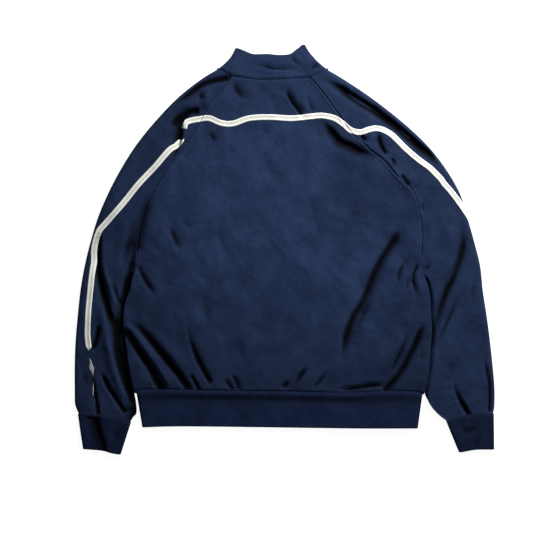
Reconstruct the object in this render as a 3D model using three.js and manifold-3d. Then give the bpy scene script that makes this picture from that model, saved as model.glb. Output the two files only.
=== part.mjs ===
// A track jacket laid flat on its front, seen from its back, with its sleeves down along its sides.
// Millimetres. X runs across the shoulders, Y up the back to the collar, Z up from the surface it
// lies on. Every piece of cloth is a sheet: rows of points on its middle surface, thickened both ways.
import * as THREE from 'three';
import Module from 'manifold-3d';
import { mergeVertices } from 'three/addons/utils/BufferGeometryUtils.js';

const wasm = await Module();
wasm.setup();

const CLOTH = 1.4;
const RIB = 2.4;
const COLLAR = 2.6;
const TAPE = 1.0;
const SEAM_GAP = 0.4;
const LAYER_GAP = 0.4;
const TAPE_WIDTH = 11;

// Heights of the middle surfaces above the floor.
const FLOOR_LAYER = CLOTH / 2;
const BACK_LEVEL = 5.2;
const SLEEVE_LEVEL = 5.7;
const ROLL_LEVEL = 2.9;
const ROLL_TOP_REACH = 8;
const ROLL_UNDER_REACH = 3.2;
const STACK_RISE = CLOTH + LAYER_GAP;
const BACK_CLEARANCE = 0.8;
const COLLAR_FRONT_RISE = 2.1;
const CUFF_LEVEL = 4.6;
const HEM_LEVEL = 5.0;
const COLLAR_LEVEL = 5.6;

// How far in from an edge a layer takes to reach its own level.
const BACK_EDGE_REACH = 34;
const SLEEVE_EDGE_REACH = 16;
const FRONT_EDGE_FLAT = 1;
const FRONT_EDGE_REACH = 13;
const UNDER_EDGE_REACH = 12;

// Room under the right sleeve for the stripe on its underside.
const STRIPE_ROOM = 1.4;
const STRIPE_ROOM_NEAR = 42;
const STRIPE_ROOM_FAR = 62;
const STRIPE_ROOM_START = 5;
const STRIPE_ROOM_FULL = 25;

// Counts of grid cells.
const YOKE_ROWS = 14;
const SIDE_ROWS = 10;
const BACK_COLUMNS = 20;
const FRONT_COLUMNS = 3;
const SLEEVE_TOP_COLUMNS = 7;
const SLEEVE_UNDER_COLUMNS = 3;
const HEM_ROWS = 2;
const CUFF_ROWS = 2;
const COLLAR_ROWS = 2;
const CUFF_COLUMNS = 6;
const HEM_COLUMNS = 17;
const HEM_UNDER_COLUMNS = 6;
const COLLAR_FRONT_STEPS = 6;
const COLLAR_BACK_STEPS = 16;

// How much the back's columns close up near its sides, and the armpit's share of the way down the sleeve.
const EDGE_EASE = 0.12;
const ARMPIT_SHARE = 0.5;

// Zip: the two tapes with the coil closed between them, and the slider at the top of the collar.
const ZIP_HALF_WIDTH = 7;
const ZIP_THICKNESS = 1.0;
const COIL_HALF_WIDTH = 2.4;
const COIL_THICKNESS = 1.6;
const ZIP_LEVEL = 0.85;
const SLIDER_LIFT = 3.35;
const ZIP_TOP = 299;
const SLIDER_BELOW_TOP = 6;
const SLIDER_WIDTH = 9;
const SLIDER_LENGTH = 13;
const SLIDER_PLATE = 0.8;
const SLIDER_NECK = 2.4;
const BAIL_LENGTH = 8;
const BAIL_WIDTH = 1.6;
const BAIL_BAR = 0.8;
const BAIL_LEG = 1.0;
const PULL_LENGTH = 32;
const PULL_WIDTH = 7;
const PULL_THICKNESS = 0.8;
const PULL_EYE_LENGTH = 4.6;
const PULL_EYE_WIDTH = 3.2;
const RUNNING_GAP = 0.3;

// Edges of the pieces in plan. Columns: x, y.
const RAGLAN_LEFT = [
  [-103.5, 328], [-119, 301], [-136, 284], [-153, 257], [-165, 235], [-185, 202], [-199, 181],
  [-218, 157], [-235, 132], [-256, 97], [-266, 67], [-274, 35], [-278, 5], [-279, -24],
];
const RAGLAN_RIGHT = [
  [48.5, 325], [73, 296], [93, 268], [109, 246], [123, 224], [144, 205], [168, 183],
  [189, 167], [214, 138], [236, 119], [250, 95], [257, 60], [260, 18], [258, -24],
];
const FRONT_RAGLAN_LEFT = [
  [-111, 305], [-134, 270], [-160, 230], [-192, 185], [-225, 140], [-253, 90], [-271, 35], [-279, -24],
];
const FRONT_RAGLAN_RIGHT = [
  [66, 305], [91, 270], [120, 230], [160, 185], [205, 140], [237, 90], [255, 35], [258, -24],
];
const SIDE_LEFT = [
  [-279, -24], [-282, -39], [-287, -58], [-291, -77], [-299, -97], [-303, -120], [-302, -153],
  [-298, -181], [-294, -210], [-288, -248], [-284, -269],
];
const SIDE_RIGHT = [
  [258, -24], [260, -43], [266, -60], [270, -75], [273, -97], [275, -126], [276, -153],
  [274, -193], [272, -221], [268, -248], [263, -271],
];
const UNDERARM_LEFT = [
  [-279, -24], [-283.5, -39], [-283, -58], [-284, -77], [-288, -120], [-289, -153], [-288.5, -181],
  [-288.5, -210], [-290, -248], [-286, -269], [-282, -290], [-281, -310], [-287, -318], [-293, -328],
];
const UNDERARM_RIGHT = [
  [258, -24], [261.5, -43], [261, -60], [262, -75], [264, -126], [266, -153], [266, -193],
  [267, -221], [270, -248], [266, -271], [272, -286], [280, -300], [294, -315], [308, -325],
];
const OUTER_LEFT = [
  [-128, 341], [-159, 322], [-202, 288], [-246, 242], [-282, 197], [-311, 151], [-335, 105],
  [-354, 60], [-368, 14], [-379, -31], [-387, -77], [-392, -123], [-396, -168], [-398, -215],
  [-398, -271], [-397, -294], [-390, -312],
];
const OUTER_RIGHT = [
  [83, 340], [113, 322], [164, 288], [223, 242], [271, 197], [307, 151], [333, 105],
  [347, 60], [360, 14], [371, -31], [376, -77], [383, -123], [389, -168], [394, -214],
  [398, -259], [398, -297], [395, -311],
];
const BACK_NECK = [
  [-103.5, 328], [-75, 324], [-48, 321], [-3, 322], [25, 323.5], [48.5, 325],
];
const FRONT_NECK_LEFT = [[-128, 341], [-111, 305], [-92, 282], [-64, 262], [-31, 251]];
const FRONT_NECK_START = 0.25;
const FRONT_NECK_RIGHT = [[83, 340], [66, 305], [47, 282], [20, 262], [-13, 251]];
const HEM_SEAM = [
  [-284, -269], [-255, -265], [-160, -267], [-10, -269], [105, -272], [172, -269], [215, -268],
  [248, -270], [263, -273],
];
const HEM_EDGE = [[-270, -336], [-197, -334], [-10, -336], [140, -338], [253, -338]];
const CUFF_SEAM_LEFT = [[-390, -312], [-293, -328]];
const CUFF_EDGE_LEFT = [[-382, -377], [-352, -380], [-333, -384], [-312, -388]];
const CUFF_SEAM_RIGHT = [[308, -325], [395, -311]];
const CUFF_SEAM_BOW = 5;
const CUFF_BOW_ROWS = 6;
const CUFF_EDGE_RIGHT = [[331, -384], [357, -379], [376, -378], [396, -378]];
const COLLAR_TOP_BACK = [
  [-94, 380], [-80, 375], [-62, 369], [-33, 369], [-11, 367], [12, 368.5], [26, 377], [39.5, 386.5],
];
const COLLAR_BASE_BACK = [
  [-125, 340], [-113, 333.5], [-100, 328.5], [-75, 324.5], [-48, 321.5], [-3, 322.5], [44, 325.5],
  [62, 331], [80, 339],
];
const COLLAR_TOP_LEFT = [[-94, 380], [-88, 352], [-70, 326], [-50, 313], [-30, 307]];
const COLLAR_TOP_RIGHT = [[39.5, 386.5], [42, 352], [28, 326], [8, 313], [-13, 307]];
const COLLAR_FOLD_SHARE = 0.03;
const COLLAR_FOLD_BULGE = 5;
const COLLAR_FOLD_LEFT = { base: [-125.5, 341], top: [-94, 380] };
const COLLAR_FOLD_RIGHT = { base: [80.5, 340], top: [39.5, 386.5] };
const HEM_SIDE_LEFT = { seam: -281.5, edge: -270 };
const HEM_SIDE_RIGHT = { seam: 262, edge: 253 };
const ZIP_LINE = [[-8, -337], [-12, -269], [-17, -24], [-22, 251], [-21.5, 307]];
const ZIP_STATIONS = [
  -336, -269, -180, -80, 20, 120, 190, 205, 214, 223, 232, 241, 250, 262, 280, 299,
];

// Places down the jacket.
const FRONT_NECK_Y = 251;
const ARMPIT_Y = -24;
const CUFF_TOP_Y = -320;
const HEM_SEAM_Y = -269;
const HEM_SEAM_Y_RIGHT = -273;
const HEM_EDGE_Y = -336;
const ZIP_LINE_TOP_Y = 306;
const HEM_HALF_WIDTH = 275;

// Where the front rises over the slider. Middle of the rise, and its reaches across and along.
const SLIDER_RISE_NEAR = 10;
const SLIDER_RISE_FAR = 40;
const SLIDER_RISE_START_Y = 205;
const SLIDER_RISE_FULL_Y = 262;
const COLLAR_RISE_CENTRE = [-21, 282];
const COLLAR_RISE_LENGTHWAYS = 0.8;
const COLLAR_RISE_NEAR = 34;
const COLLAR_RISE_FAR = 90;

// Centre lines of the tape.
const TAPE_BACK = [
  [-162.5, 246.5], [-143, 248], [-120, 239], [-98, 238], [-67, 248], [-28, 250], [13, 248],
  [45, 251], [69, 253], [88, 250], [98, 246], [111, 237],
];
const TAPE_LEFT = [
  [-163, 246.5], [-181, 243], [-190, 233], [-197, 205], [-219, 187], [-246, 156], [-276, 124],
  [-309, 83], [-341, 47], [-349, 34], [-353, 14], [-359, -23], [-367, -71], [-372, -130],
  [-372, -181], [-370, -225], [-366, -282], [-366, -304],
];
const TAPE_RIGHT = [
  [112.2, 236.2], [120, 229], [132, 223], [146, 222], [157, 226], [172, 229], [186, 226], [202, 217],
  [217, 203], [231, 189], [252, 171], [275, 154], [308, 119], [324, 100],
];
const TAPE_RIGHT_UNDER = [
  [334, 58], [330, 40], [332, 20], [342, -31], [348, -77], [355, -123], [362, -168], [367, -214],
  [371, -259], [371, -304],
];

// Largest folds of the upper layer. Columns: x and y of the start, the middle and the end of the
// crease, half width, height (negative for a trough).
const FOLDS = [
  [-295, -163, -274, -201, -237, -258, 9, -2.0],
  [-287, -155, -230, -200, -189, -261, 9, -2.2],
  [-266, -150, -210, -190, -160, -250, 13, 1.8],
  [-297, -180, -262, -222, -250, -258, 10, 1.6],
  [-270, -39, -250, -74, -238, -93, 8, -1.6],
  [217, 47, 174, -47, 112, -212, 13, -2.0],
  [240, 20, 196, -60, 150, -190, 16, 1.8],
  [245, -164, 224, -203, 196, -256, 9, -2.0],
  [258, -120, 240, -180, 214, -250, 10, 1.6],
  [86, -266, 140, -262, 187, -257, 10, -1.6],
  [70, 240, 97, 209, 146, 185, 14, -2.2],
  [100, 225, 130, 200, 175, 172, 9, 1.8],
  [3, 301, 17, 285, 27, 267, 8, -1.8],
  [63, 325, 202, 239, 287, 166, 11, -2.6],
  [40, 300, 150, 235, 240, 160, 15, 1.4],
  [337, 28, 300, -101, 276, -182, 11, -2.0],
  [352, -20, 322, -110, 300, -190, 14, 1.4],
  [321, -246, 334, -282, 346, -308, 9, -1.8],
  [-348, 6, -341, -91, -329, -128, 11, -2.0],
  [-330, 40, -322, -60, -312, -140, 12, 1.6],
  [-341, -240, -324, -277, -298, -308, 9, -1.8],
  [-162, 263, -190, 252, -224, 233, 9, -2.2],
  [-150, 300, -200, 268, -240, 225, 12, 1.6],
  [-60, 60, 0, 40, 60, 50, 60, 1.2],
  [-120, -120, -40, -140, 40, -130, 60, 1.0],
];

function ramp(value, low, high) {
  const share = Math.min(Math.max((value - low) / (high - low), 0), 1);
  return share * share * (3 - 2 * share);
}

function mix(first, second, share) {
  return first + (second - first) * share;
}

// Point at a share of the way along a row of points, rounded through them.
function along(points, share) {
  const last = points.length - 1;
  const place = Math.min(Math.max(share, 0), 1) * last;
  const index = Math.min(Math.floor(place), last - 1);
  const t = place - index;
  const before = points[Math.max(index - 1, 0)];
  const start = points[index];
  const end = points[index + 1];
  const after = points[Math.min(index + 2, last)];
  return start.map((value, axis) => {
    const slopeIn = (end[axis] - before[axis]) / 2;
    const slopeOut = (after[axis] - value) / 2;
    const cubic = 2 * value - 2 * end[axis] + slopeIn + slopeOut;
    const square = 3 * end[axis] - 3 * value - 2 * slopeIn - slopeOut;
    return ((cubic * t + square) * t + slopeIn) * t + value;
  });
}

// Value of a curve given as points, at one of its coordinates: 0 finds y at x, 1 finds x at y.
function valueAt(points, axis, value) {
  let low = 0;
  let high = 1;
  const rising = points[points.length - 1][axis] > points[0][axis];
  for (let step = 0; step < 24; step += 1) {
    const middle = (low + high) / 2;
    const below = along(points, middle)[axis] < value;
    if (below === rising) low = middle;
    else high = middle;
  }
  return along(points, (low + high) / 2)[1 - axis];
}

// Value from a short table of places and values, straight between its rows.
function lookUp(table, place) {
  if (place >= table[0][0]) return table[0][1];
  for (let row = 1; row < table.length; row += 1) {
    const [lowPlace, lowValue] = table[row];
    const [highPlace, highValue] = table[row - 1];
    if (place >= lowPlace) return mix(lowValue, highValue, (place - lowPlace) / (highPlace - lowPlace));
  }
  return table[table.length - 1][1];
}

function distanceToPath(x, y, points) {
  let best = { distance: Infinity, share: 0 };
  for (let index = 0; index < points.length - 1; index += 1) {
    const [startX, startY] = points[index];
    const spanX = points[index + 1][0] - startX;
    const spanY = points[index + 1][1] - startY;
    const reach = ((x - startX) * spanX + (y - startY) * spanY) / (spanX * spanX + spanY * spanY);
    const share = Math.min(Math.max(reach, 0), 1);
    const distance = Math.hypot(x - startX - spanX * share, y - startY - spanY * share);
    if (distance < best.distance) best = { distance, share: (index + share) / (points.length - 1) };
  }
  return best;
}

// Folds of the upper layer, each fading at its ends.
function relief(x, y) {
  let height = 0;
  for (const [x1, y1, x2, y2, x3, y3, halfWidth, rise] of FOLDS) {
    const { distance, share } = distanceToPath(x, y, [[x1, y1], [x2, y2], [x3, y3]]);
    if (distance > 3 * halfWidth) continue;
    const taper = 0.35 + 0.65 * Math.sin(Math.PI * share);
    height += rise * taper * Math.exp(-((distance / halfWidth) ** 2));
  }
  return height;
}

// Heights along the edges of the layers, down from the armpit. Columns: y, height.
const FRONT_EDGE_HEIGHT = [[25, 0.7], [0, 1.1], [-24, 2.0], [-39, 5.4], [-250, 5.4], [-268, 2.2]];
const BACK_EDGE_HEIGHT = [[30, 5.2], [0, 4.8], [-24, 4.2], [-39, 7.3], [-250, 7.3], [-268, 4.6]];
const SLEEVE_EDGE_HEIGHT = [[30, 5.2], [0, 4.8], [-24, 4.2], [-39, 3.0], [-300, 3.0]];
const SLEEVE_UNDER_HEIGHT = [[25, 0.7], [0, 1.1], [-24, 2.0], [-39, 1.1], [-300, 1.1]];

// How far a point lies inside the body from its nearer side edge.
function insideBody(x, y) {
  const left = y > ARMPIT_Y ? RAGLAN_LEFT : SIDE_LEFT;
  const right = y > ARMPIT_Y ? RAGLAN_RIGHT : SIDE_RIGHT;
  return Math.min(x - valueAt(left, 1, y), valueAt(right, 1, y) - x);
}

function insideUnderarm(x, y) {
  const clamped = Math.min(Math.max(y, CUFF_TOP_Y), ARMPIT_Y);
  const left = x - valueAt(UNDERARM_LEFT, 1, clamped);
  const right = valueAt(UNDERARM_RIGHT, 1, clamped) - x;
  return Math.min(left, right);
}

// Rise of the front over the zip's slider and pull, which lie between the zip and the floor.
function sliderRise(x, y) {
  const centre = valueAt(ZIP_LINE, 1, Math.min(Math.max(y, HEM_EDGE_Y), ZIP_LINE_TOP_Y));
  const across = 1 - ramp(Math.abs(x - centre), SLIDER_RISE_NEAR, SLIDER_RISE_FAR);
  const lengthways = ramp(y, SLIDER_RISE_START_Y, SLIDER_RISE_FULL_Y);
  return SLIDER_LIFT * across * lengthways;
}

function frontHeight(x, y) {
  const edge = lookUp(FRONT_EDGE_HEIGHT, y);
  const inset = y > ARMPIT_Y ? Math.max(0, insideFrontRaglan(x, y)) : insideUnderarm(x, y);
  const inward = ramp(inset, FRONT_EDGE_FLAT, FRONT_EDGE_REACH);
  return FLOOR_LAYER + (edge - FLOOR_LAYER) * (1 - inward) + sliderRise(x, y);
}

function insideFrontRaglan(x, y) {
  const left = x - valueAt(FRONT_RAGLAN_LEFT, 1, y);
  const right = valueAt(FRONT_RAGLAN_RIGHT, 1, y) - x;
  return Math.min(left, right);
}

// Rise of the back over the slider and the front of the collar.
function collarRise(x, y) {
  const [centreX, centreY] = COLLAR_RISE_CENTRE;
  const distance = Math.hypot(x - centreX, (y - centreY) * COLLAR_RISE_LENGTHWAYS);
  return COLLAR_FRONT_RISE * (1 - ramp(distance, COLLAR_RISE_NEAR, COLLAR_RISE_FAR));
}

function backHeight(x, y) {
  const inset = insideBody(x, y);
  const edge = lookUp(BACK_EDGE_HEIGHT, y);
  const level = BACK_LEVEL + collarRise(x, y);
  const folded = mix(edge, level, ramp(inset, 0, BACK_EDGE_REACH)) + relief(x, y) * ramp(inset, -2, 12);
  const nearHem = mix(BACK_LEVEL, folded, ramp(y, HEM_SEAM_Y + 1, HEM_SEAM_Y + 13));
  const height = inset < BACK_EDGE_REACH ? folded : nearHem;
  return Math.max(height, frontHeight(x, y) + STACK_RISE + BACK_CLEARANCE);
}

function sleeveHeight(x, y, bodySide) {
  const edge = lookUp(SLEEVE_EDGE_HEIGHT, y);
  const besideBody = Math.max(0, -insideBody(x, Math.max(y, HEM_SEAM_Y - 2)));
  const outside = y > ARMPIT_Y ? bodySide : besideBody;
  return mix(edge, SLEEVE_LEVEL + relief(x, y), ramp(outside, 0, SLEEVE_EDGE_REACH));
}

// Closed sheet from rows of middle points. A ring closes each row on itself; plumb rows' ends keep
// their end walls upright, so that pieces meet wall to wall at a seam.
function sheet(rows, thickness, { ring = false, plumbEnds = true } = {}) {
  const rowCount = rows.length;
  const columnCount = rows[0].length;
  const positions = [];
  const at = (row, column) => rows[row][ring ? (column + columnCount) % columnCount : column];
  const normalAt = (row, column) => {
    const beforeColumn = ring ? column - 1 : Math.max(column - 1, 0);
    const afterColumn = ring ? column + 1 : Math.min(column + 1, columnCount - 1);
    const across = new THREE.Vector3().subVectors(at(row, afterColumn), at(row, beforeColumn));
    const beforeRow = at(Math.max(row - 1, 0), column);
    const down = new THREE.Vector3().subVectors(at(Math.min(row + 1, rowCount - 1), column), beforeRow);
    const normal = new THREE.Vector3().crossVectors(across, down).normalize();
    const atEnd = !ring && plumbEnds && (column === 0 || column === columnCount - 1);
    if (atEnd) normal.set(0, 0, Math.sign(normal.z));
    return normal;
  };
  for (const side of [1, -1]) {
    for (let row = 0; row < rowCount; row += 1) {
      for (let column = 0; column < columnCount; column += 1) {
        const point = at(row, column).clone();
        point.addScaledVector(normalAt(row, column), (side * thickness) / 2);
        positions.push(point.x, point.y, point.z);
      }
    }
  }
  const under = rowCount * columnCount;
  const id = (row, column, offset) => row * columnCount + ((column + columnCount) % columnCount) + offset;
  const faces = [];
  const quad = (a, b, c, d) => faces.push(a, b, c, a, c, d);
  const cells = ring ? columnCount : columnCount - 1;
  for (let row = 0; row < rowCount - 1; row += 1) {
    for (let column = 0; column < cells; column += 1) {
      quad(id(row, column, 0), id(row, column + 1, 0), id(row + 1, column + 1, 0), id(row + 1, column, 0));
      quad(
        id(row, column, under), id(row + 1, column, under),
        id(row + 1, column + 1, under), id(row, column + 1, under),
      );
    }
  }
  for (let column = 0; column < cells; column += 1) {
    const last = rowCount - 1;
    quad(id(0, column, under), id(0, column + 1, under), id(0, column + 1, 0), id(0, column, 0));
    quad(id(last, column, 0), id(last, column + 1, 0), id(last, column + 1, under), id(last, column, under));
  }
  if (!ring) {
    const last = columnCount - 1;
    for (let row = 0; row < rowCount - 1; row += 1) {
      quad(id(row, 0, 0), id(row + 1, 0, 0), id(row + 1, 0, under), id(row, 0, under));
      quad(id(row, last, under), id(row + 1, last, under), id(row + 1, last, 0), id(row, last, 0));
    }
  }
  return outward(positions, faces);
}

// Geometry with its faces turned outward.
function outward(positions, faces) {
  let volume = 0;
  const corner = (index) => new THREE.Vector3(...positions.slice(index * 3, index * 3 + 3));
  for (let face = 0; face < faces.length; face += 3) {
    const [a, b, c] = [corner(faces[face]), corner(faces[face + 1]), corner(faces[face + 2])];
    volume += a.dot(b.cross(c));
  }
  if (volume < 0) faces.reverse();
  const geometry = new THREE.BufferGeometry();
  geometry.setAttribute('position', new THREE.Float32BufferAttribute(positions, 3));
  geometry.setIndex(faces);
  return geometry;
}

// Even shares from 0 to 1.
const sideShares = (count) => Array.from({ length: count + 1 }, (_, index) => index / count);

// Share of the way across the back, with closer steps near its side edges.
function easedShare(share) {
  const wave = (part) => 0.5 - 0.5 * Math.cos(Math.PI * part);
  const first = wave(EDGE_EASE);
  return (wave(mix(EDGE_EASE, 1 - EDGE_EASE, share)) - first) / (1 - 2 * first);
}

function backRows() {
  const rows = [];
  const spread = sideShares(BACK_COLUMNS);
  for (const share of sideShares(YOKE_ROWS)) {
    const left = along(RAGLAN_LEFT, share);
    const right = along(RAGLAN_RIGHT, share);
    rows.push({ left, right, bow: 1 - share, seam: BACK_NECK });
  }
  for (const share of sideShares(SIDE_ROWS).slice(1)) {
    const left = along(SIDE_LEFT, share);
    const right = along(SIDE_RIGHT, share);
    rows.push({ left, right, bow: share, seam: HEM_SEAM });
  }
  return rows.map(({ left, right, bow, seam }, index) => spread.map((share) => {
    const even = easedShare(share);
    const inset = SEAM_GAP / 2;
    const x = mix(left[0] + inset, right[0] - inset, even);
    const straight = mix(left[1], right[1], even);
    const startX = seam[0][0] + 1;
    const endX = seam[seam.length - 1][0] - 1;
    const ends = mix(valueAt(seam, 0, startX), valueAt(seam, 0, endX), even);
    const place = mix(startX, endX, even);
    const y = straight + (valueAt(seam, 0, place) - ends) * bow ** 3;
    const edgeGap = index === 0 ? -inset : 0;
    const lastGap = index === rows.length - 1 ? inset : 0;
    return new THREE.Vector3(x, y + edgeGap + lastGap, backHeight(x, y));
  }));
}

function frontRows(side) {
  const left = side < 0;
  const raglan = left ? FRONT_RAGLAN_LEFT : FRONT_RAGLAN_RIGHT;
  const edge = left ? SIDE_LEFT : SIDE_RIGHT;
  const neck = left ? FRONT_NECK_LEFT : FRONT_NECK_RIGHT;
  const zipX = (y) => valueAt(ZIP_LINE, 1, Math.max(y, HEM_EDGE_Y)) + side * (ZIP_HALF_WIDTH + SEAM_GAP);
  const rows = [];
  const place = (sidePoint, centreY, bow, index, count) => {
    const inset = SEAM_GAP / 2;
    const start = sidePoint[0] - side * inset;
    const overlap = Math.max(0, side * (sidePoint[0] - zipX(centreY)));
    const belowArmpit = sidePoint[1] < ARMPIT_Y - 6;
    const underlap = belowArmpit ? Math.max(0, -insideOfUnderarmAt(sidePoint, side)) : 0;
    const near = [0, underlap / 2 + 2, underlap + 5, underlap + 14].map((reach) => reach / overlap);
    const far = sideShares(FRONT_COLUMNS).slice(1).map((share) => mix(near[3], 1, share));
    rows.push([...near, ...far].map((share) => {
      const straightX = mix(start, zipX(centreY), share);
      const straightY = mix(sidePoint[1], centreY, share);
      const curve = along(neck, mix(FRONT_NECK_START, 1, share));
      const x = mix(straightX, curve[0], bow);
      const y = mix(straightY, curve[1], bow);
      const neckGap = index === 0 ? -SEAM_GAP : 0;
      const hemGap = index === count ? inset : 0;
      const z = frontHeight(x, y);
      return new THREE.Vector3(x, y + neckGap + hemGap, z);
    }));
  };
  const total = YOKE_ROWS + SIDE_ROWS;
  sideShares(YOKE_ROWS).forEach((share, index) => {
    const sidePoint = along(raglan, share);
    const centreY = mix(FRONT_NECK_Y, ARMPIT_Y, share);
    place(sidePoint, centreY, Math.max(0, 1 - index / 2), index, total);
  });
  sideShares(SIDE_ROWS).slice(1).forEach((share, index) => {
    const sidePoint = along(edge, share);
    const centreY = mix(ARMPIT_Y, HEM_SEAM_Y, share);
    place(sidePoint, centreY, 0, YOKE_ROWS + 1 + index, total);
  });
  return rows;
}

// Negative where the body lies over the sleeve's inner edge.
function insideOfUnderarmAt(point, side) {
  const edge = side < 0 ? UNDERARM_LEFT : UNDERARM_RIGHT;
  const x = valueAt(edge, 1, Math.min(Math.max(point[1], CUFF_TOP_Y), ARMPIT_Y));
  return side * (x - point[0]);
}

function sleeveRows(side) {
  const left = side < 0;
  const raglan = left ? RAGLAN_LEFT : RAGLAN_RIGHT;
  const frontRaglan = left ? FRONT_RAGLAN_LEFT : FRONT_RAGLAN_RIGHT;
  const underarm = left ? UNDERARM_LEFT : UNDERARM_RIGHT;
  const outer = left ? OUTER_LEFT : OUTER_RIGHT;
  const rows = [];
  const addRow = (inner, underInner, outerShare, gap, openTop) => {
    const edge = along(outer, outerShare);
    const bow = CUFF_SEAM_BOW * Math.max(0, 1 - (1 - outerShare) * CUFF_BOW_ROWS);
    rows.push(sleeveSection(inner, underInner, edge, side, gap, openTop, bow));
  };
  sideShares(YOKE_ROWS).forEach((share, index) => {
    const inner = along(raglan, share);
    const underInner = along(frontRaglan, share);
    const outerShare = mix(0, ARMPIT_SHARE, share) * mix(0.75, 1, share);
    addRow(inner, underInner, outerShare, index === 0 ? 1 : 0, true);
  });
  sideShares(SIDE_ROWS).slice(1).forEach((share, index) => {
    const inner = along(underarm, share);
    const outerShare = mix(ARMPIT_SHARE, 1, share);
    addRow(inner, inner, outerShare, index === SIDE_ROWS - 1 ? -1 : 0, false);
  });
  return rows;
}

// One section round the sleeve: over the top from the back seam, round the outer edge and back
// underneath to the front seam.
function sleeveSection(inner, underInner, edge, side, endGap, aboveArmpit, bow) {
  const points = [];
  const shift = -endGap * (SEAM_GAP / 2 + 0.1);
  const topLength = Math.hypot(inner[0] - edge[0], inner[1] - edge[1]);
  const underLength = Math.hypot(underInner[0] - edge[0], underInner[1] - edge[1]);
  const tip = CLOTH / 2;
  const put = (from, length, distance, height, lift = bow) => {
    const share = distance / length;
    const x = mix(edge[0], from[0], share) + side * (share > 0.98 ? SEAM_GAP / 2 : 0);
    const y = mix(edge[1], from[1], share) + shift + lift * Math.sin(Math.PI * share);
    points.push(new THREE.Vector3(x, y, height(x, y, length - distance)));
  };
  const topHeight = (x, y, fromSeam) => sleeveHeight(x, y, aboveArmpit ? fromSeam : 0);
  const topReach = Math.min(ROLL_TOP_REACH, topLength * 0.3);
  const underReach = Math.min(ROLL_UNDER_REACH, underLength * 0.2);
  for (const share of sideShares(SLEEVE_TOP_COLUMNS)) {
    put(inner, topLength, mix(topLength, topReach + tip, share), topHeight);
  }
  for (const angle of [35, 65, 90]) {
    const turn = THREE.MathUtils.degToRad(angle);
    const distance = tip + topReach * (1 - Math.sin(turn));
    put(inner, topLength, distance, (x, y, reach) => mix(ROLL_LEVEL, topHeight(x, y, reach), Math.cos(turn)));
  }
  const stripeRoom = (distance) => (
    side > 0 ? STRIPE_ROOM * (1 - ramp(distance, STRIPE_ROOM_NEAR, STRIPE_ROOM_FAR)) : 0
  );
  const underHeight = (x, y, fromSeam) => {
    const seam = lookUp(SLEEVE_UNDER_HEIGHT, y);
    const room = stripeRoom(underLength - fromSeam);
    const level = FLOOR_LAYER + room * ramp(fromSeam, STRIPE_ROOM_START, STRIPE_ROOM_FULL);
    return mix(seam, level, ramp(fromSeam, 0, UNDER_EDGE_REACH));
  };
  for (const angle of [50, 0]) {
    const turn = THREE.MathUtils.degToRad(angle);
    const distance = tip + underReach * (1 - Math.sin(turn));
    put(underInner, underLength, distance, (x, y, reach) => (
      mix(ROLL_LEVEL, underHeight(x, y, reach), Math.cos(turn))
    ), 0);
  }
  for (const share of sideShares(SLEEVE_UNDER_COLUMNS).slice(1)) {
    const distance = mix(underReach + tip, underLength, share);
    put(underInner, underLength, distance, underHeight, 0);
  }
  return points;
}

// Flattened ring of double cloth between two edges, each given by its upper and lower layers.
function flatRing(rowsOfEdges, thickness, topLevel) {
  const radius = (topLevel - thickness / 2) / 2;
  return rowsOfEdges.map(({ topPoints, underPoints }) => {
    const row = [];
    const first = topPoints[0];
    const last = topPoints[topPoints.length - 1];
    const direction = Math.sign(last[0] - first[0]);
    const turn = (centre, sense) => {
      for (const angle of [60, 0, -60]) {
        const bend = THREE.MathUtils.degToRad(angle);
        const x = centre[0] - sense * radius * Math.cos(bend);
        row.push(new THREE.Vector3(x, centre[1], thickness / 2 + radius + radius * Math.sin(bend)));
      }
    };
    topPoints.forEach(([x, y]) => row.push(new THREE.Vector3(x, y, topLevel)));
    turn(last, -direction);
    underPoints.forEach(([x, y]) => row.push(new THREE.Vector3(x, y, thickness / 2)));
    turn(first, direction);
    row.splice(row.length - 3, 3, ...row.slice(-3).reverse());
    return row;
  });
}

function cuffRows(seam, edge) {
  const radius = (CUFF_LEVEL - RIB / 2) / 2;
  const inset = RIB / 2 + radius;
  return flatRing(sideShares(CUFF_ROWS).map((share) => {
    const span = (part, bowed) => {
      const start = along(seam, part);
      const end = along(edge, part);
      const bottomGap = share === 0 ? SEAM_GAP + 0.1 : 0;
      const bow = bowed ? CUFF_SEAM_BOW * Math.sin(Math.PI * part) * (1 - share) : 0;
      return [mix(start[0], end[0], share), mix(start[1], end[1], share) - bottomGap + bow];
    };
    const width = Math.abs(span(1)[0] - span(0)[0]);
    const parts = sideShares(CUFF_COLUMNS).map((part) => mix(inset / width, 1 - inset / width, part));
    const topPoints = parts.map((part) => span(part, true));
    const underPoints = parts.map((part) => span(part, false)).reverse();
    return { topPoints, underPoints };
  }), RIB, CUFF_LEVEL);
}

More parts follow.
